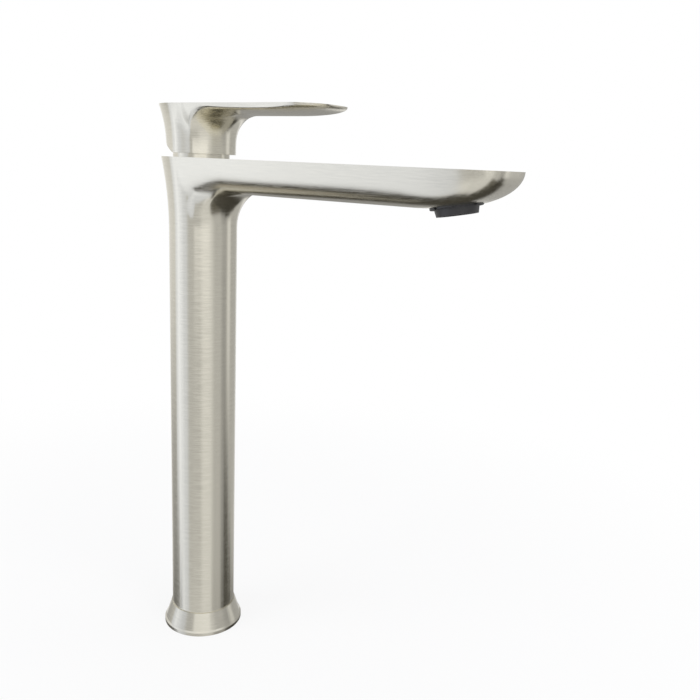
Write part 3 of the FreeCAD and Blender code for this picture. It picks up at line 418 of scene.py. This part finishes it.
# %% Shading normals from the fields
SKIN_TOLERANCE = 0.12  # a face whose middle is further off, in millimetres, belongs to a bore


def read_all(items, key, width, kind=float):
    values = np.zeros(len(items) * width, kind)
    items.foreach_get(key, values)
    return values.reshape(-1, width) if width > 1 else values


def true_normals(piece, skins):
    """Give every face that lies on a skin the field's own direction at its corners."""
    mesh = piece.data
    centres = read_all(mesh.polygons, "center", 3) / MM
    flat = read_all(mesh.polygons, "normal", 3)
    points = read_all(mesh.vertices, "co", 3) / MM
    corner_point = read_all(mesh.loops, "vertex_index", 1, int)
    face = np.repeat(np.arange(len(flat)), read_all(mesh.polygons, "loop_total", 1, int))
    values = np.array([skin(*centres.T) for skin in skins])
    own = values.argmax(0)
    normals = flat[face].copy()
    for number, skin in enumerate(skins):
        picked = (own[face] == number) & (np.abs(values.max(0))[face] < SKIN_TOLERANCE)
        slope = gradient(skin, *points[corner_point[picked]].T)
        slope /= np.linalg.norm(slope, axis=1, keepdims=True)
        agree = (slope * flat[face[picked]]).sum(-1) > 0.5
        normals[np.flatnonzero(picked)[agree]] = slope[agree]
    mesh.polygons.foreach_set("use_smooth", np.ones(len(flat), bool))
    mesh.normals_split_custom_set(normals.tolist())
    print(f"{piece.name}: normals at {len(normals)} corners")


true_normals(body, BODY_SKINS)
true_normals(lever, LEVER_SKINS)
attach(body, "base")
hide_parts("body")
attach(lever, "lever")
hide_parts("handle")

# %% [markdown]
# ## Finishes
# The faucet is brushed nickel over brass: a fine satin grain runs round the column and along the
# spout and the lever. Grain is noise stretched along the brushing, used by every brushed piece,
# so it is a node group. The group only puts out masks and heights; the shader stays in each
# material.

# %% Helpers for building node trees
MIX_SOCKETS = {"FLOAT": (2, 3, 0), "VECTOR": (4, 5, 1), "RGBA": (6, 7, 2)}  # first, second, result


def feed(tree, value, socket):
    """Link another node's output to a socket, or set the socket's own value."""
    if isinstance(value, bpy.types.NodeSocket):
        tree.links.new(value, socket)
    else:
        socket.default_value = value


def add_node(tree, kind, inputs=None, **settings):
    node = tree.nodes.new(kind)
    for key, value in settings.items():
        setattr(node, key, value)
    for key, value in (inputs or {}).items():
        feed(tree, value, node.inputs[key])
    return node


def math_node(tree, operation, *values):
    inputs = dict(enumerate(values))
    return add_node(tree, "ShaderNodeMath", inputs, operation=operation).outputs[0]


def vector_node(tree, operation, *values):
    inputs = dict(enumerate(values))
    return add_node(tree, "ShaderNodeVectorMath", inputs, operation=operation).outputs


def mixed(tree, kind, share, first, second):
    a, b, result = MIX_SOCKETS[kind]
    inputs = {0: share, a: first, b: second}
    return add_node(tree, "ShaderNodeMix", inputs, data_type=kind).outputs[result]


def stepped(tree, value, from_min, from_max, to_min=0.0, to_max=1.0):
    """A smooth step from one range of values to another."""
    labels = ("Value", "From Min", "From Max", "To Min", "To Max")
    inputs = dict(zip(labels, (value, from_min, from_max, to_min, to_max)))
    return add_node(tree, "ShaderNodeMapRange", inputs, interpolation_type="SMOOTHSTEP").outputs[0]


def parts(tree, vector):
    return add_node(tree, "ShaderNodeSeparateXYZ", {0: vector}).outputs


def joined(tree, *values):
    return add_node(tree, "ShaderNodeCombineXYZ", dict(enumerate(values))).outputs[0]


def noise(tree, vector, scale, detail, roughness):
    inputs = {"Vector": vector, "Scale": scale, "Detail": detail, "Roughness": roughness}
    return add_node(tree, "ShaderNodeTexNoise", inputs).outputs[0]


def new_group(tree_type, name, inputs, outputs):
    """A node group; an input is a float with its default, or the name of another kind of socket."""
    group = bpy.data.node_groups.new(name, tree_type)
    for label, kind in outputs.items():
        group.interface.new_socket(label, in_out="OUTPUT", socket_type=kind)
    for label, value in inputs.items():
        kind = value if isinstance(value, str) else "NodeSocketFloat"
        made = group.interface.new_socket(label, in_out="INPUT", socket_type=kind)
        if kind == "NodeSocketFloat":
            made.default_value = value
    given, result = group.nodes.new("NodeGroupInput"), group.nodes.new("NodeGroupOutput")
    return group, given.outputs, result.inputs


def new_material(name):
    material = bpy.data.materials.new(name)
    material.use_nodes = True
    tree = material.node_tree
    return material, tree, tree.nodes["Principled BSDF"]


print("node helpers ready, kinds of mix:", ", ".join(MIX_SOCKETS))

# %% The brushed grain, shared by every brushed piece
grain, given, result = new_group(
    "ShaderNodeTree",
    "brushed_grain",
    {"Position": "NodeSocketVector", "Turned": 1.0, "Fine": 4500.0, "Coarse": 1700.0,
     "Stretch": 16.0},
    {"Height": "NodeSocketFloat", "Streaks": "NodeSocketFloat", "Clouds": "NodeSocketFloat"},
)
x, y, z = parts(grain, given["Position"])
shrink = math_node(grain, "DIVIDE", 1.0, given["Stretch"])
along = math_node(grain, "MULTIPLY", x, shrink)
straight = joined(grain, along, y, z)
around = joined(grain, along, math_node(grain, "MULTIPLY", y, shrink), z)
fine, coarse = [
    mixed(grain, "FLOAT", given["Turned"], noise(grain, straight, given[scale], 3.0, 0.6),
          noise(grain, around, given[scale], 3.0, 0.6))
    for scale in ("Fine", "Coarse")
]
height = math_node(grain, "MULTIPLY_ADD", fine, 0.45, math_node(grain, "MULTIPLY", coarse, 0.55))
feed(grain, height, result["Height"])
feed(grain, stepped(grain, coarse, 0.30, 0.70), result["Streaks"])
feed(grain, noise(grain, given["Position"], 22.0, 2.0, 0.5), result["Clouds"])
print("group made:", grain.name)

# %% Brushed metal
ANISOTROPY = 0.75
ROUGHNESS, ROUGH_STREAKS, ROUGH_CLOUDS = 0.14, 0.10, 0.04
GRAIN_RELIEF, GRAIN_DEPTH = 0.22, 0.00008
DARK_STREAK, BRIGHT_STREAK = 0.95, 1.04
STRAIGHT_FADE = 0.014  # metres over which the brushing turns from round to straight
LEVEL_FROM, LEVEL_TO = 0.85, 0.95  # how far up or down a face looks when it counts as level


def tinted(colour, factor):
    return (*[min(1, c * factor) for c in colour], 1)


def relief(tree, height, strength, distance):
    inputs = {"Strength": strength, "Distance": distance, "Height": height}
    return add_node(tree, "ShaderNodeBump", inputs).outputs[0]


def brushed_metal(name, tint, straight_from=None):
    """Brushed round the column; given an X in metres, straight past it and on level tops."""
    material, tree, shader = new_material(name)
    place = add_node(tree, "ShaderNodeTexCoord").outputs
    x, y, _ = parts(tree, place["Object"])
    groove = joined(tree, math_node(tree, "MULTIPLY", y, -1.0), x, 0.0)
    turned_share = 1.0
    if straight_from is not None:
        near = stepped(tree, x, straight_from, straight_from + STRAIGHT_FADE, 1.0, 0.0)
        upward = math_node(tree, "ABSOLUTE", parts(tree, place["Normal"])[2])
        not_level = stepped(tree, upward, LEVEL_FROM, LEVEL_TO, 1.0, 0.0)
        turned_share = math_node(tree, "MULTIPLY", near, not_level)
        groove = mixed(tree, "VECTOR", turned_share, (0.02, 0, 0), groove)
    across = vector_node(tree, "CROSS_PRODUCT", place["Normal"], groove)[0]
    tangent = add_node(tree, "ShaderNodeVectorTransform", {0: across}, vector_type="VECTOR",
                       convert_from="OBJECT", convert_to="WORLD")
    inputs = {"Position": place["Object"], "Turned": turned_share}
    brushing = add_node(tree, "ShaderNodeGroup", inputs, node_tree=grain).outputs
    streaks = brushing["Streaks"]
    dark, light = tinted(tint, DARK_STREAK), tinted(tint, BRIGHT_STREAK)
    rough = math_node(tree, "MULTIPLY_ADD", streaks, ROUGH_STREAKS, ROUGHNESS)
    looks = {
        "Metallic": 1.0,
        "Anisotropic": ANISOTROPY,
        "Tangent": tangent.outputs[0],
        "Base Color": mixed(tree, "RGBA", streaks, dark, light),
        "Roughness": math_node(tree, "MULTIPLY_ADD", brushing["Clouds"], ROUGH_CLOUDS, rough),
        "Normal": relief(tree, brushing["Height"], GRAIN_RELIEF, GRAIN_DEPTH),
    }
    for label, value in looks.items():
        feed(tree, value, shader.inputs[label])
    return material


NICKEL = (0.775, 0.75, 0.662)
# Painted shade: the cover ring wears the body's own nickel made darker, a shaded copy of the same
# finish.
SHADED_RING_NICKEL = (0.67, 0.65, 0.575)  # darker to match: the cover ring looks darker in the photograph
brushed_body = brushed_metal("brushed_nickel_body", NICKEL, straight_from=0.020)
brushed_lever = brushed_metal("brushed_nickel_lever", NICKEL, straight_from=0.018)
turned_nickel = brushed_metal("turned_nickel", NICKEL)
# the cover ring's finish, with painted shade in its darker tint
shaded_ring_nickel = brushed_metal("turned_nickel_shaded_ring", SHADED_RING_NICKEL)
print("brushed finishes made, materials now:", len(bpy.data.materials))

# %% [markdown]
# ## Plain finishes
# The outlet is satin black plastic, and the valve's pieces inside are brass, steel, rubber,
# plastic and ceramic. None of them is quite even, so one function gives each a colour and a gloss
# that waver a little with a fine noise. A table says which pieces wear which finish.

# %% Moulded and machined surfaces
GLOSS_WAVER = 0.1


def plain_finish(name, colour, rough, metallic=0.0, mottle=0.06, scale=160.0, bump=0.05):
    material, tree, shader = new_material(name)
    place = add_node(tree, "ShaderNodeTexCoord").outputs
    waver = noise(tree, place["Object"], scale, 4.0, 0.6)
    dark, light = tinted(colour, 1 - mottle), tinted(colour, 1 + mottle)
    looks = {
        "Metallic": metallic,
        "Base Color": mixed(tree, "RGBA", waver, dark, light),
        "Roughness": math_node(tree, "MULTIPLY_ADD", waver, GLOSS_WAVER, rough - GLOSS_WAVER / 2),
        "Normal": relief(tree, waver, bump, 0.0001),
    }
    for label, value in looks.items():
        feed(tree, value, shader.inputs[label])
    return material


black_plastic = plain_finish("satin_black_plastic", (0.027, 0.027, 0.029), 0.42, scale=400)
black_rubber = plain_finish("black_rubber", (0.03, 0.03, 0.03), 0.7, scale=300, bump=0.15)
machined_brass = plain_finish("machined_brass", (0.72, 0.55, 0.28), 0.3, metallic=1.0, scale=500)
drawn_steel = plain_finish("drawn_steel", (0.55, 0.55, 0.56), 0.3, metallic=1.0, scale=500)
ivory_plastic = plain_finish("ivory_plastic", (0.78, 0.77, 0.72), 0.45)
grey_plastic = plain_finish("grey_plastic", (0.30, 0.31, 0.33), 0.45)
blue_plastic = plain_finish("blue_plastic", (0.16, 0.32, 0.52), 0.4)
valve_ceramic = plain_finish("valve_ceramic", (0.88, 0.87, 0.83), 0.15, mottle=0.03)
nickel_grey = plain_finish("nickel_grey_plastic", (0.50, 0.49, 0.45), 0.3)
print("plain finishes made, materials now:", len(bpy.data.materials))

# %% Dress every piece
WEARS = {
    turned_nickel: ["collar"],
    # the cover ring wears the nickel with painted shade
    shaded_ring_nickel: ["base_ring"],
    black_plastic: ["nozzle", "aerator_holder"],
    black_rubber: [
        "base_gasket", "manifold_seals", "inlet_port_seals", "disc_seals", "rotor_seal",
        "collar_seal", "aerator_seal",
    ],
    machined_brass: ["mounting_bridge", "retaining_nut", "spindle"],
    drawn_steel: ["spindle_pin", "set_screw"],
    ivory_plastic: [
        "manifold", "cartridge_base", "disc_carrier", "cartridge_rotor", "cartridge_housing",
    ],
    grey_plastic: ["handle_bush", "flow_straightener"],
    blue_plastic: ["flow_regulator"],
    valve_ceramic: ["fixed_disc", "moving_disc"],
    nickel_grey: ["screw_plug"],
}
dressed = [(body, brushed_body), (lever, brushed_lever)]
dressed += [(nodes[name], material) for material, names in WEARS.items() for name in names]
for piece, material in dressed:
    piece.data.materials.clear()
    piece.data.materials.append(material)
print("pieces dressed:", len(dressed))

# %% [markdown]
# ## The outlet's honeycomb
# The jet straightener is a web of thin hexagonal cells. Cells that repeat over a disc are a job
# for Geometry Nodes: two offset grids of points give the staggered rows, points near the rim are
# dropped, and a six-sided tube is set on each one that is left.

# %% Staggered rows of points inside a disc
COLUMNS, ROWS = 13, 9
RIM_GAP = 0.85  # in cells: a cell whose middle is nearer the rim than this is dropped
comb, size, comb_result = new_group(
    "GeometryNodeTree",
    "honeycomb_disc",
    {"Disc Radius": 0.0085, "Cell Pitch": 0.0017, "Wall": 0.00022, "Depth": 0.0054,
     "Material": "NodeSocketMaterial"},
    {"Geometry": "NodeSocketGeometry"},
)
pitch, disc_radius = size["Cell Pitch"], size["Disc Radius"]
row_gap = math_node(comb, "MULTIPLY", pitch, math.sqrt(3))
width = math_node(comb, "MULTIPLY", pitch, float(COLUMNS - 1))
length = math_node(comb, "MULTIPLY", row_gap, float(ROWS - 1))
both_grids = add_node(comb, "GeometryNodeJoinGeometry")
for share in (0.0, 0.5):
    rows = add_node(comb, "GeometryNodeMeshGrid", {
        "Vertices X": COLUMNS, "Vertices Y": ROWS, "Size X": width, "Size Y": length,
    })
    offset = joined(comb, *[math_node(comb, "MULTIPLY", gap, share) for gap in (pitch, row_gap)])
    moved = add_node(comb, "GeometryNodeTransform", {
        "Geometry": rows.outputs["Mesh"], "Translation": offset,
    })
    feed(comb, moved.outputs[0], both_grids.inputs[0])
position = add_node(comb, "GeometryNodeInputPosition").outputs[0]
from_middle = vector_node(comb, "LENGTH", position)["Value"]
furthest = math_node(comb, "MULTIPLY_ADD", pitch, -RIM_GAP, disc_radius)
too_far = math_node(comb, "GREATER_THAN", from_middle, furthest)
centres = add_node(comb, "GeometryNodeDeleteGeometry", {
    "Geometry": both_grids.outputs[0], "Selection": too_far,
}, domain="POINT")
print("points before the rim's are dropped:", 2 * COLUMNS * ROWS)

# %% A tube on each point, and the rim
def tube(tree, sides, radius, wall, height):
    """A closed ring of a rectangular section round Z."""
    circle = {"Resolution": sides, "Radius": radius}
    path = add_node(tree, "GeometryNodeCurvePrimitiveCircle", circle)
    rectangle = {"Width": wall, "Height": height}
    section = add_node(tree, "GeometryNodeCurvePrimitiveQuadrilateral", rectangle)
    curves = {"Curve": path.outputs[0], "Profile Curve": section.outputs[0]}
    return add_node(tree, "GeometryNodeCurveToMesh", curves).outputs[0]


WALL_SHARE, RIM_SHARE = 0.6, 0.5  # of a wall that stays inside its cell, of a cell for the rim
walls = math_node(comb, "MULTIPLY", size["Wall"], -WALL_SHARE)
cell_radius = math_node(comb, "MULTIPLY_ADD", pitch, 1 / math.sqrt(3), walls)
cells = add_node(comb, "GeometryNodeInstanceOnPoints", {
    "Points": centres.outputs[0],
    "Instance": tube(comb, 6, cell_radius, size["Wall"], size["Depth"]),
    "Rotation": (0, 0, math.radians(30)),
})
rim_wall = math_node(comb, "MULTIPLY", pitch, RIM_SHARE)
rim_radius = math_node(comb, "MULTIPLY_ADD", rim_wall, -0.5, disc_radius)
everything = add_node(comb, "GeometryNodeJoinGeometry")
feed(comb, cells.outputs[0], everything.inputs[0])
feed(comb, tube(comb, AROUND, rim_radius, rim_wall, size["Depth"]), everything.inputs[0])
solid = add_node(comb, "GeometryNodeRealizeInstances", {0: everything.outputs[0]})
covered = add_node(comb, "GeometryNodeSetMaterial", {
    "Geometry": solid.outputs[0], "Material": size["Material"],
})
feed(comb, covered.outputs[0], comb_result[0])
print("honeycomb nodes:", len(comb.nodes))

# %% Grow the honeycomb and set it in the outlet
def set_inputs(modifier, values):
    """Set a modifier's inputs by the identifiers of their sockets."""
    for item in modifier.node_group.interface.items_tree:
        if item.in_out == "INPUT" and item.name in values:
            modifier[item.identifier] = values[item.name]


COMB_HEIGHT = 4.5  # of the honeycomb's middle in the outlet, in millimetres
straightener = add_object("jet_straightener", bpy.data.meshes.new("jet_straightener"))
growing = straightener.modifiers.new("honeycomb", "NODES")
growing.node_group = comb
set_inputs(growing, {"Disc Radius": 0.0089, "Material": grey_plastic})
settle(straightener)
straightener.data.transform(OUTLET @ Matrix.Translation((0, 0, COMB_HEIGHT * MM)))
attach(straightener, "outlet")
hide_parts("flow_straightener")
print("honeycomb faces:", len(straightener.data.polygons))

# %% [markdown]
# ## The studio
# The photograph shows the faucet cut out on plain white. Three large lamps give soft light at a
# plain level, and the floor keeps only the faucet's shadow. Metal has no look of its own, only
# what it mirrors, so soft bright and dark cards, as a photographer would stand round it, are
# painted on a far dome that only reflections see. They give the column its long light and dark
# bands.

# %% The floor
FLOOR_REACH = 4.0
SHADOW_NEAR, SHADOW_FAR = 0.15, 0.55  # metres from the column where the floor turns plain white
SHADOW_WHITE = 0.8  # the share of plain white close to the foot
corners = [(-1, -1), (1, -1), (1, 1), (-1, 1)]
floor_mesh = bpy.data.meshes.new("floor")
points = [(FLOOR_REACH * x, FLOOR_REACH * y, 0) for x, y in corners]
floor_mesh.from_pydata(points, [], [(0, 1, 2, 3)])
floor = add_object("floor", floor_mesh)
floor_paint, tree, shader = new_material("floor_paint")
shader.inputs["Base Color"].default_value = (0.9, 0.9, 0.9, 1)
shader.inputs["Roughness"].default_value = 0.9
place = add_node(tree, "ShaderNodeTexCoord").outputs
distance = vector_node(tree, "LENGTH", place["Object"])["Value"]
away = stepped(tree, distance, SHADOW_NEAR, SHADOW_FAR, SHADOW_WHITE, 1.0)
camera_ray = add_node(tree, "ShaderNodeLightPath").outputs["Is Camera Ray"]
white = add_node(tree, "ShaderNodeEmission", {"Color": (1, 1, 1, 1), "Strength": 1.0})
share = math_node(tree, "MULTIPLY", camera_ray, away)
mix = add_node(tree, "ShaderNodeMixShader", {0: share, 1: shader.outputs[0], 2: white.outputs[0]})
feed(tree, mix.outputs[0], tree.nodes["Material Output"].inputs[0])
floor_mesh.materials.append(floor_paint)
floor.visible_glossy = False
print("floor's width (m):", 2 * FLOOR_REACH)

# %% A soft card as a mask
soft_card, given, result = new_group(
    "ShaderNodeTree",
    "soft_card",
    {"Azimuth": 0.0, "Elevation": 0.0, "Middle": 0.0, "Half Width": 20.0, "Bottom": -30.0,
     "Top": 90.0, "Softness": 5.0},
    {"Mask": "NodeSocketFloat"},
)
turn = math_node(soft_card, "SUBTRACT", given["Azimuth"], given["Middle"])
turn = math_node(soft_card, "ABSOLUTE", math_node(soft_card, "WRAP", turn, 180.0, -180.0))
fade_start = math_node(soft_card, "MULTIPLY", given["Softness"], -1.0)
mask = 1.0
for upper, lower in (
    (given["Half Width"], turn),
    (given["Elevation"], given["Bottom"]),
    (given["Top"], given["Elevation"]),
):
    inside = math_node(soft_card, "SUBTRACT", upper, lower)
    fade = stepped(soft_card, inside, fade_start, given["Softness"])
    mask = math_node(soft_card, "MULTIPLY", fade, mask)
feed(soft_card, mask, result["Mask"])
print("group made:", soft_card.name)

# %% The cards round the faucet
COOL, NEUTRAL, WARM = (0.97, 1.0, 1.08), (1.0, 0.99, 0.97), (1.08, 1.0, 0.82)
# name: middle azimuth, half width, bottom, top, softness (all in degrees), brightness, colour;
# a later card covers the ones before it
STUDIO = {
    "rear haze": (180, 40, -90, 12, 14, 0.80, NEUTRAL),
    "rear dusk": (180, 40, -90, -16, 12, 0.33, NEUTRAL),
    "side haze": (85, 62, -90, 65, 12, 0.50, NEUTRAL),
    "side dusk": (100, 70, -90, -18, 10, 0.52, NEUTRAL),
    "front wall": (-40, 72, -90, 16, 8, 0.57, NEUTRAL),
    "front light": (-32, 20, -90, 16, 9, 0.78, NEUTRAL),
    "stem light": (-50, 26, -4, 90, 5, 1.12, NEUTRAL),
    "spout shade": (30, 9, -90, -4, 7, 0.39, NEUTRAL),
    "deep spout shade": (46, 11, -90, -22, 4, 0.06, WARM),
    "corner dusk": (66, 10, -90, -28, 3, 0.08, WARM),
    "right lamp": (53, 8, -17, 25, 5, 0.82, NEUTRAL),
    "back lamp": (114, 5, -28, 25, 3, 0.92, NEUTRAL),
    "rear lamp": (153, 6, -33, 25, 4, 0.98, NEUTRAL),
    "table": (150, 125, -90, -32, 2.5, 0.05, WARM),
    "front table shade": (6, 20, -90, -38, 4, 0.12, WARM),
    "back shade": (132, 11, -47, -2, 4, 0.35, NEUTRAL),
    "table edge": (-170, 14, -54, -40, 3, 0.40, WARM),
    "dark hole": (110, 75, -90, -50, 5, 0.06, WARM),
    "front table": (-62, 42, -78, -35, 4, 0.74, NEUTRAL),
    "left floor light": (-108, 22, -66, -34, 5, 0.84, NEUTRAL),
    "left softbox edge": (-146, 7, -25, 40, 3, 0.95, COOL),
    "left softbox": (-130, 12, -32, 40, 2.5, 1.15, COOL),
    "left softbox foot": (-122, 10, -60, 40, 6, 0.99, COOL),
    "left softbox side": (-110, 9, -66, 40, 7, 0.80, COOL),
}
print("soft cards:", len(STUDIO))

# %% Paint the cards on a far dome
dome_paint, tree, shader = new_material("dome_paint")
tree.nodes.remove(shader)
x, y, z = parts(tree, add_node(tree, "ShaderNodeTexCoord").outputs["Object"])
level_square = math_node(tree, "MULTIPLY_ADD", x, x, math_node(tree, "MULTIPLY", y, y))
level = math_node(tree, "SQRT", level_square)
azimuth = math_node(tree, "DEGREES", math_node(tree, "ARCTAN2", y, x))
elevation = math_node(tree, "DEGREES", math_node(tree, "ARCTAN2", z, level))
paint = (1, 1, 1, 1)
for title, (middle, half, bottom, top, softness, brightness, hue) in STUDIO.items():
    inputs = {
        "Azimuth": azimuth, "Elevation": elevation, "Middle": middle, "Half Width": half,
        "Bottom": bottom, "Top": top, "Softness": softness,
    }
    card = add_node(tree, "ShaderNodeGroup", inputs, node_tree=soft_card, label=title)
    paint = mixed(tree, "RGBA", card.outputs[0], paint, (*[brightness * c for c in hue], 1))
glow = add_node(tree, "ShaderNodeEmission", {"Color": paint, "Strength": 1.0})
feed(tree, glow.outputs[0], tree.nodes["Material Output"].inputs[0])

builder = bmesh.new()
bmesh.ops.create_icosphere(builder, subdivisions=4, radius=6.0)
dome_mesh = bpy.data.meshes.new("dome")
builder.to_mesh(dome_mesh)
builder.free()
dome_mesh.materials.append(dome_paint)
dome = add_object("dome", dome_mesh)
STUDIO_MIDDLE = Vector((0.05, 0, 0.2))
dome.location = STUDIO_MIDDLE
dome.visible_camera = False
dome.visible_diffuse = False
dome.visible_shadow = False
dome.visible_transmission = False
print("dome faces:", len(dome_mesh.polygons))

# %% The world: white to look at and in reflections, dimmer as a light
world = bpy.data.worlds.new("studio")
bpy.context.scene.world = world
world.use_nodes = True
tree = world.node_tree
tree.nodes.clear()
ray = add_node(tree, "ShaderNodeLightPath").outputs
seen = math_node(tree, "MAXIMUM", ray["Is Camera Ray"], ray["Is Glossy Ray"])
seen = math_node(tree, "MAXIMUM", seen, ray["Is Transmission Ray"])
dim = add_node(tree, "ShaderNodeBackground", {"Color": (0.95, 0.96, 1.0, 1), "Strength": 0.55})
bright = add_node(tree, "ShaderNodeBackground", {"Color": (1, 1, 1, 1), "Strength": 1.0})
mix = add_node(tree, "ShaderNodeMixShader", {0: seen, 1: dim.outputs[0], 2: bright.outputs[0]})
add_node(tree, "ShaderNodeOutputWorld", {0: mix.outputs[0]})
print("world:", world.name)

# %% Three soft lamps
def softbox(name, azimuth, elevation, distance, size, power):
    """A large lamp that lights the faucet but is not itself mirrored in it."""
    lamp = bpy.data.lights.new(name, "AREA")
    lamp.shape = "RECTANGLE"
    lamp.size, lamp.size_y = size
    lamp.energy = power
    holder = add_object(name, lamp)
    turn, rise = math.radians(azimuth), math.radians(elevation)
    level = math.cos(rise)
    direction = Vector((math.cos(turn) * level, math.sin(turn) * level, math.sin(rise)))
    holder.location = STUDIO_MIDDLE + distance * direction
    holder.rotation_euler = direction.to_track_quat("Z", "Y").to_euler()
    holder.visible_glossy = False


softbox("left_softbox", -120, 12, 1.3, (1.0, 1.2), 9.0)
softbox("top_softbox", 20, 75, 1.5, (1.2, 1.2), 8.0)
softbox("right_softbox", -10, 25, 1.4, (0.8, 1.0), 4.0)
print("lamps:", len(bpy.data.lights))

# %% [markdown]
# ## The camera
# The camera was fitted to the photograph, so that a render can be laid over it. It needs a place,
# the direction it looks in, a small roll, and a focal length in pixels of the square picture.

# %% Place the camera
FORWARD = Vector((-0.54369, 0.80666, -0.23175))
ROLL = math.radians(2.57)
CAMERA_PLACE = Vector((0.3366, -0.3366, 0.2996))
FOCAL_PIXELS, PICTURE_PIXELS, SENSOR = 775, 700, 36.0
side = FORWARD.cross(Vector((0, 0, 1))).normalized()
up = side.cross(FORWARD)
right = math.cos(ROLL) * side + math.sin(ROLL) * up
above = -math.sin(ROLL) * side + math.cos(ROLL) * up
camera_data = bpy.data.cameras.new("camera")
camera_data.sensor_width = SENSOR
camera_data.lens = FOCAL_PIXELS / PICTURE_PIXELS * SENSOR
camera_data.clip_start = 0.01
camera = add_object("camera", camera_data)
pose = Matrix((right, above, -FORWARD.normalized())).transposed().to_4x4()
pose.translation = CAMERA_PLACE
camera.matrix_world = pose
bpy.context.scene.camera = camera
bpy.context.scene.view_settings.view_transform = "Standard"
print("lens (mm):", round(camera_data.lens, 2))
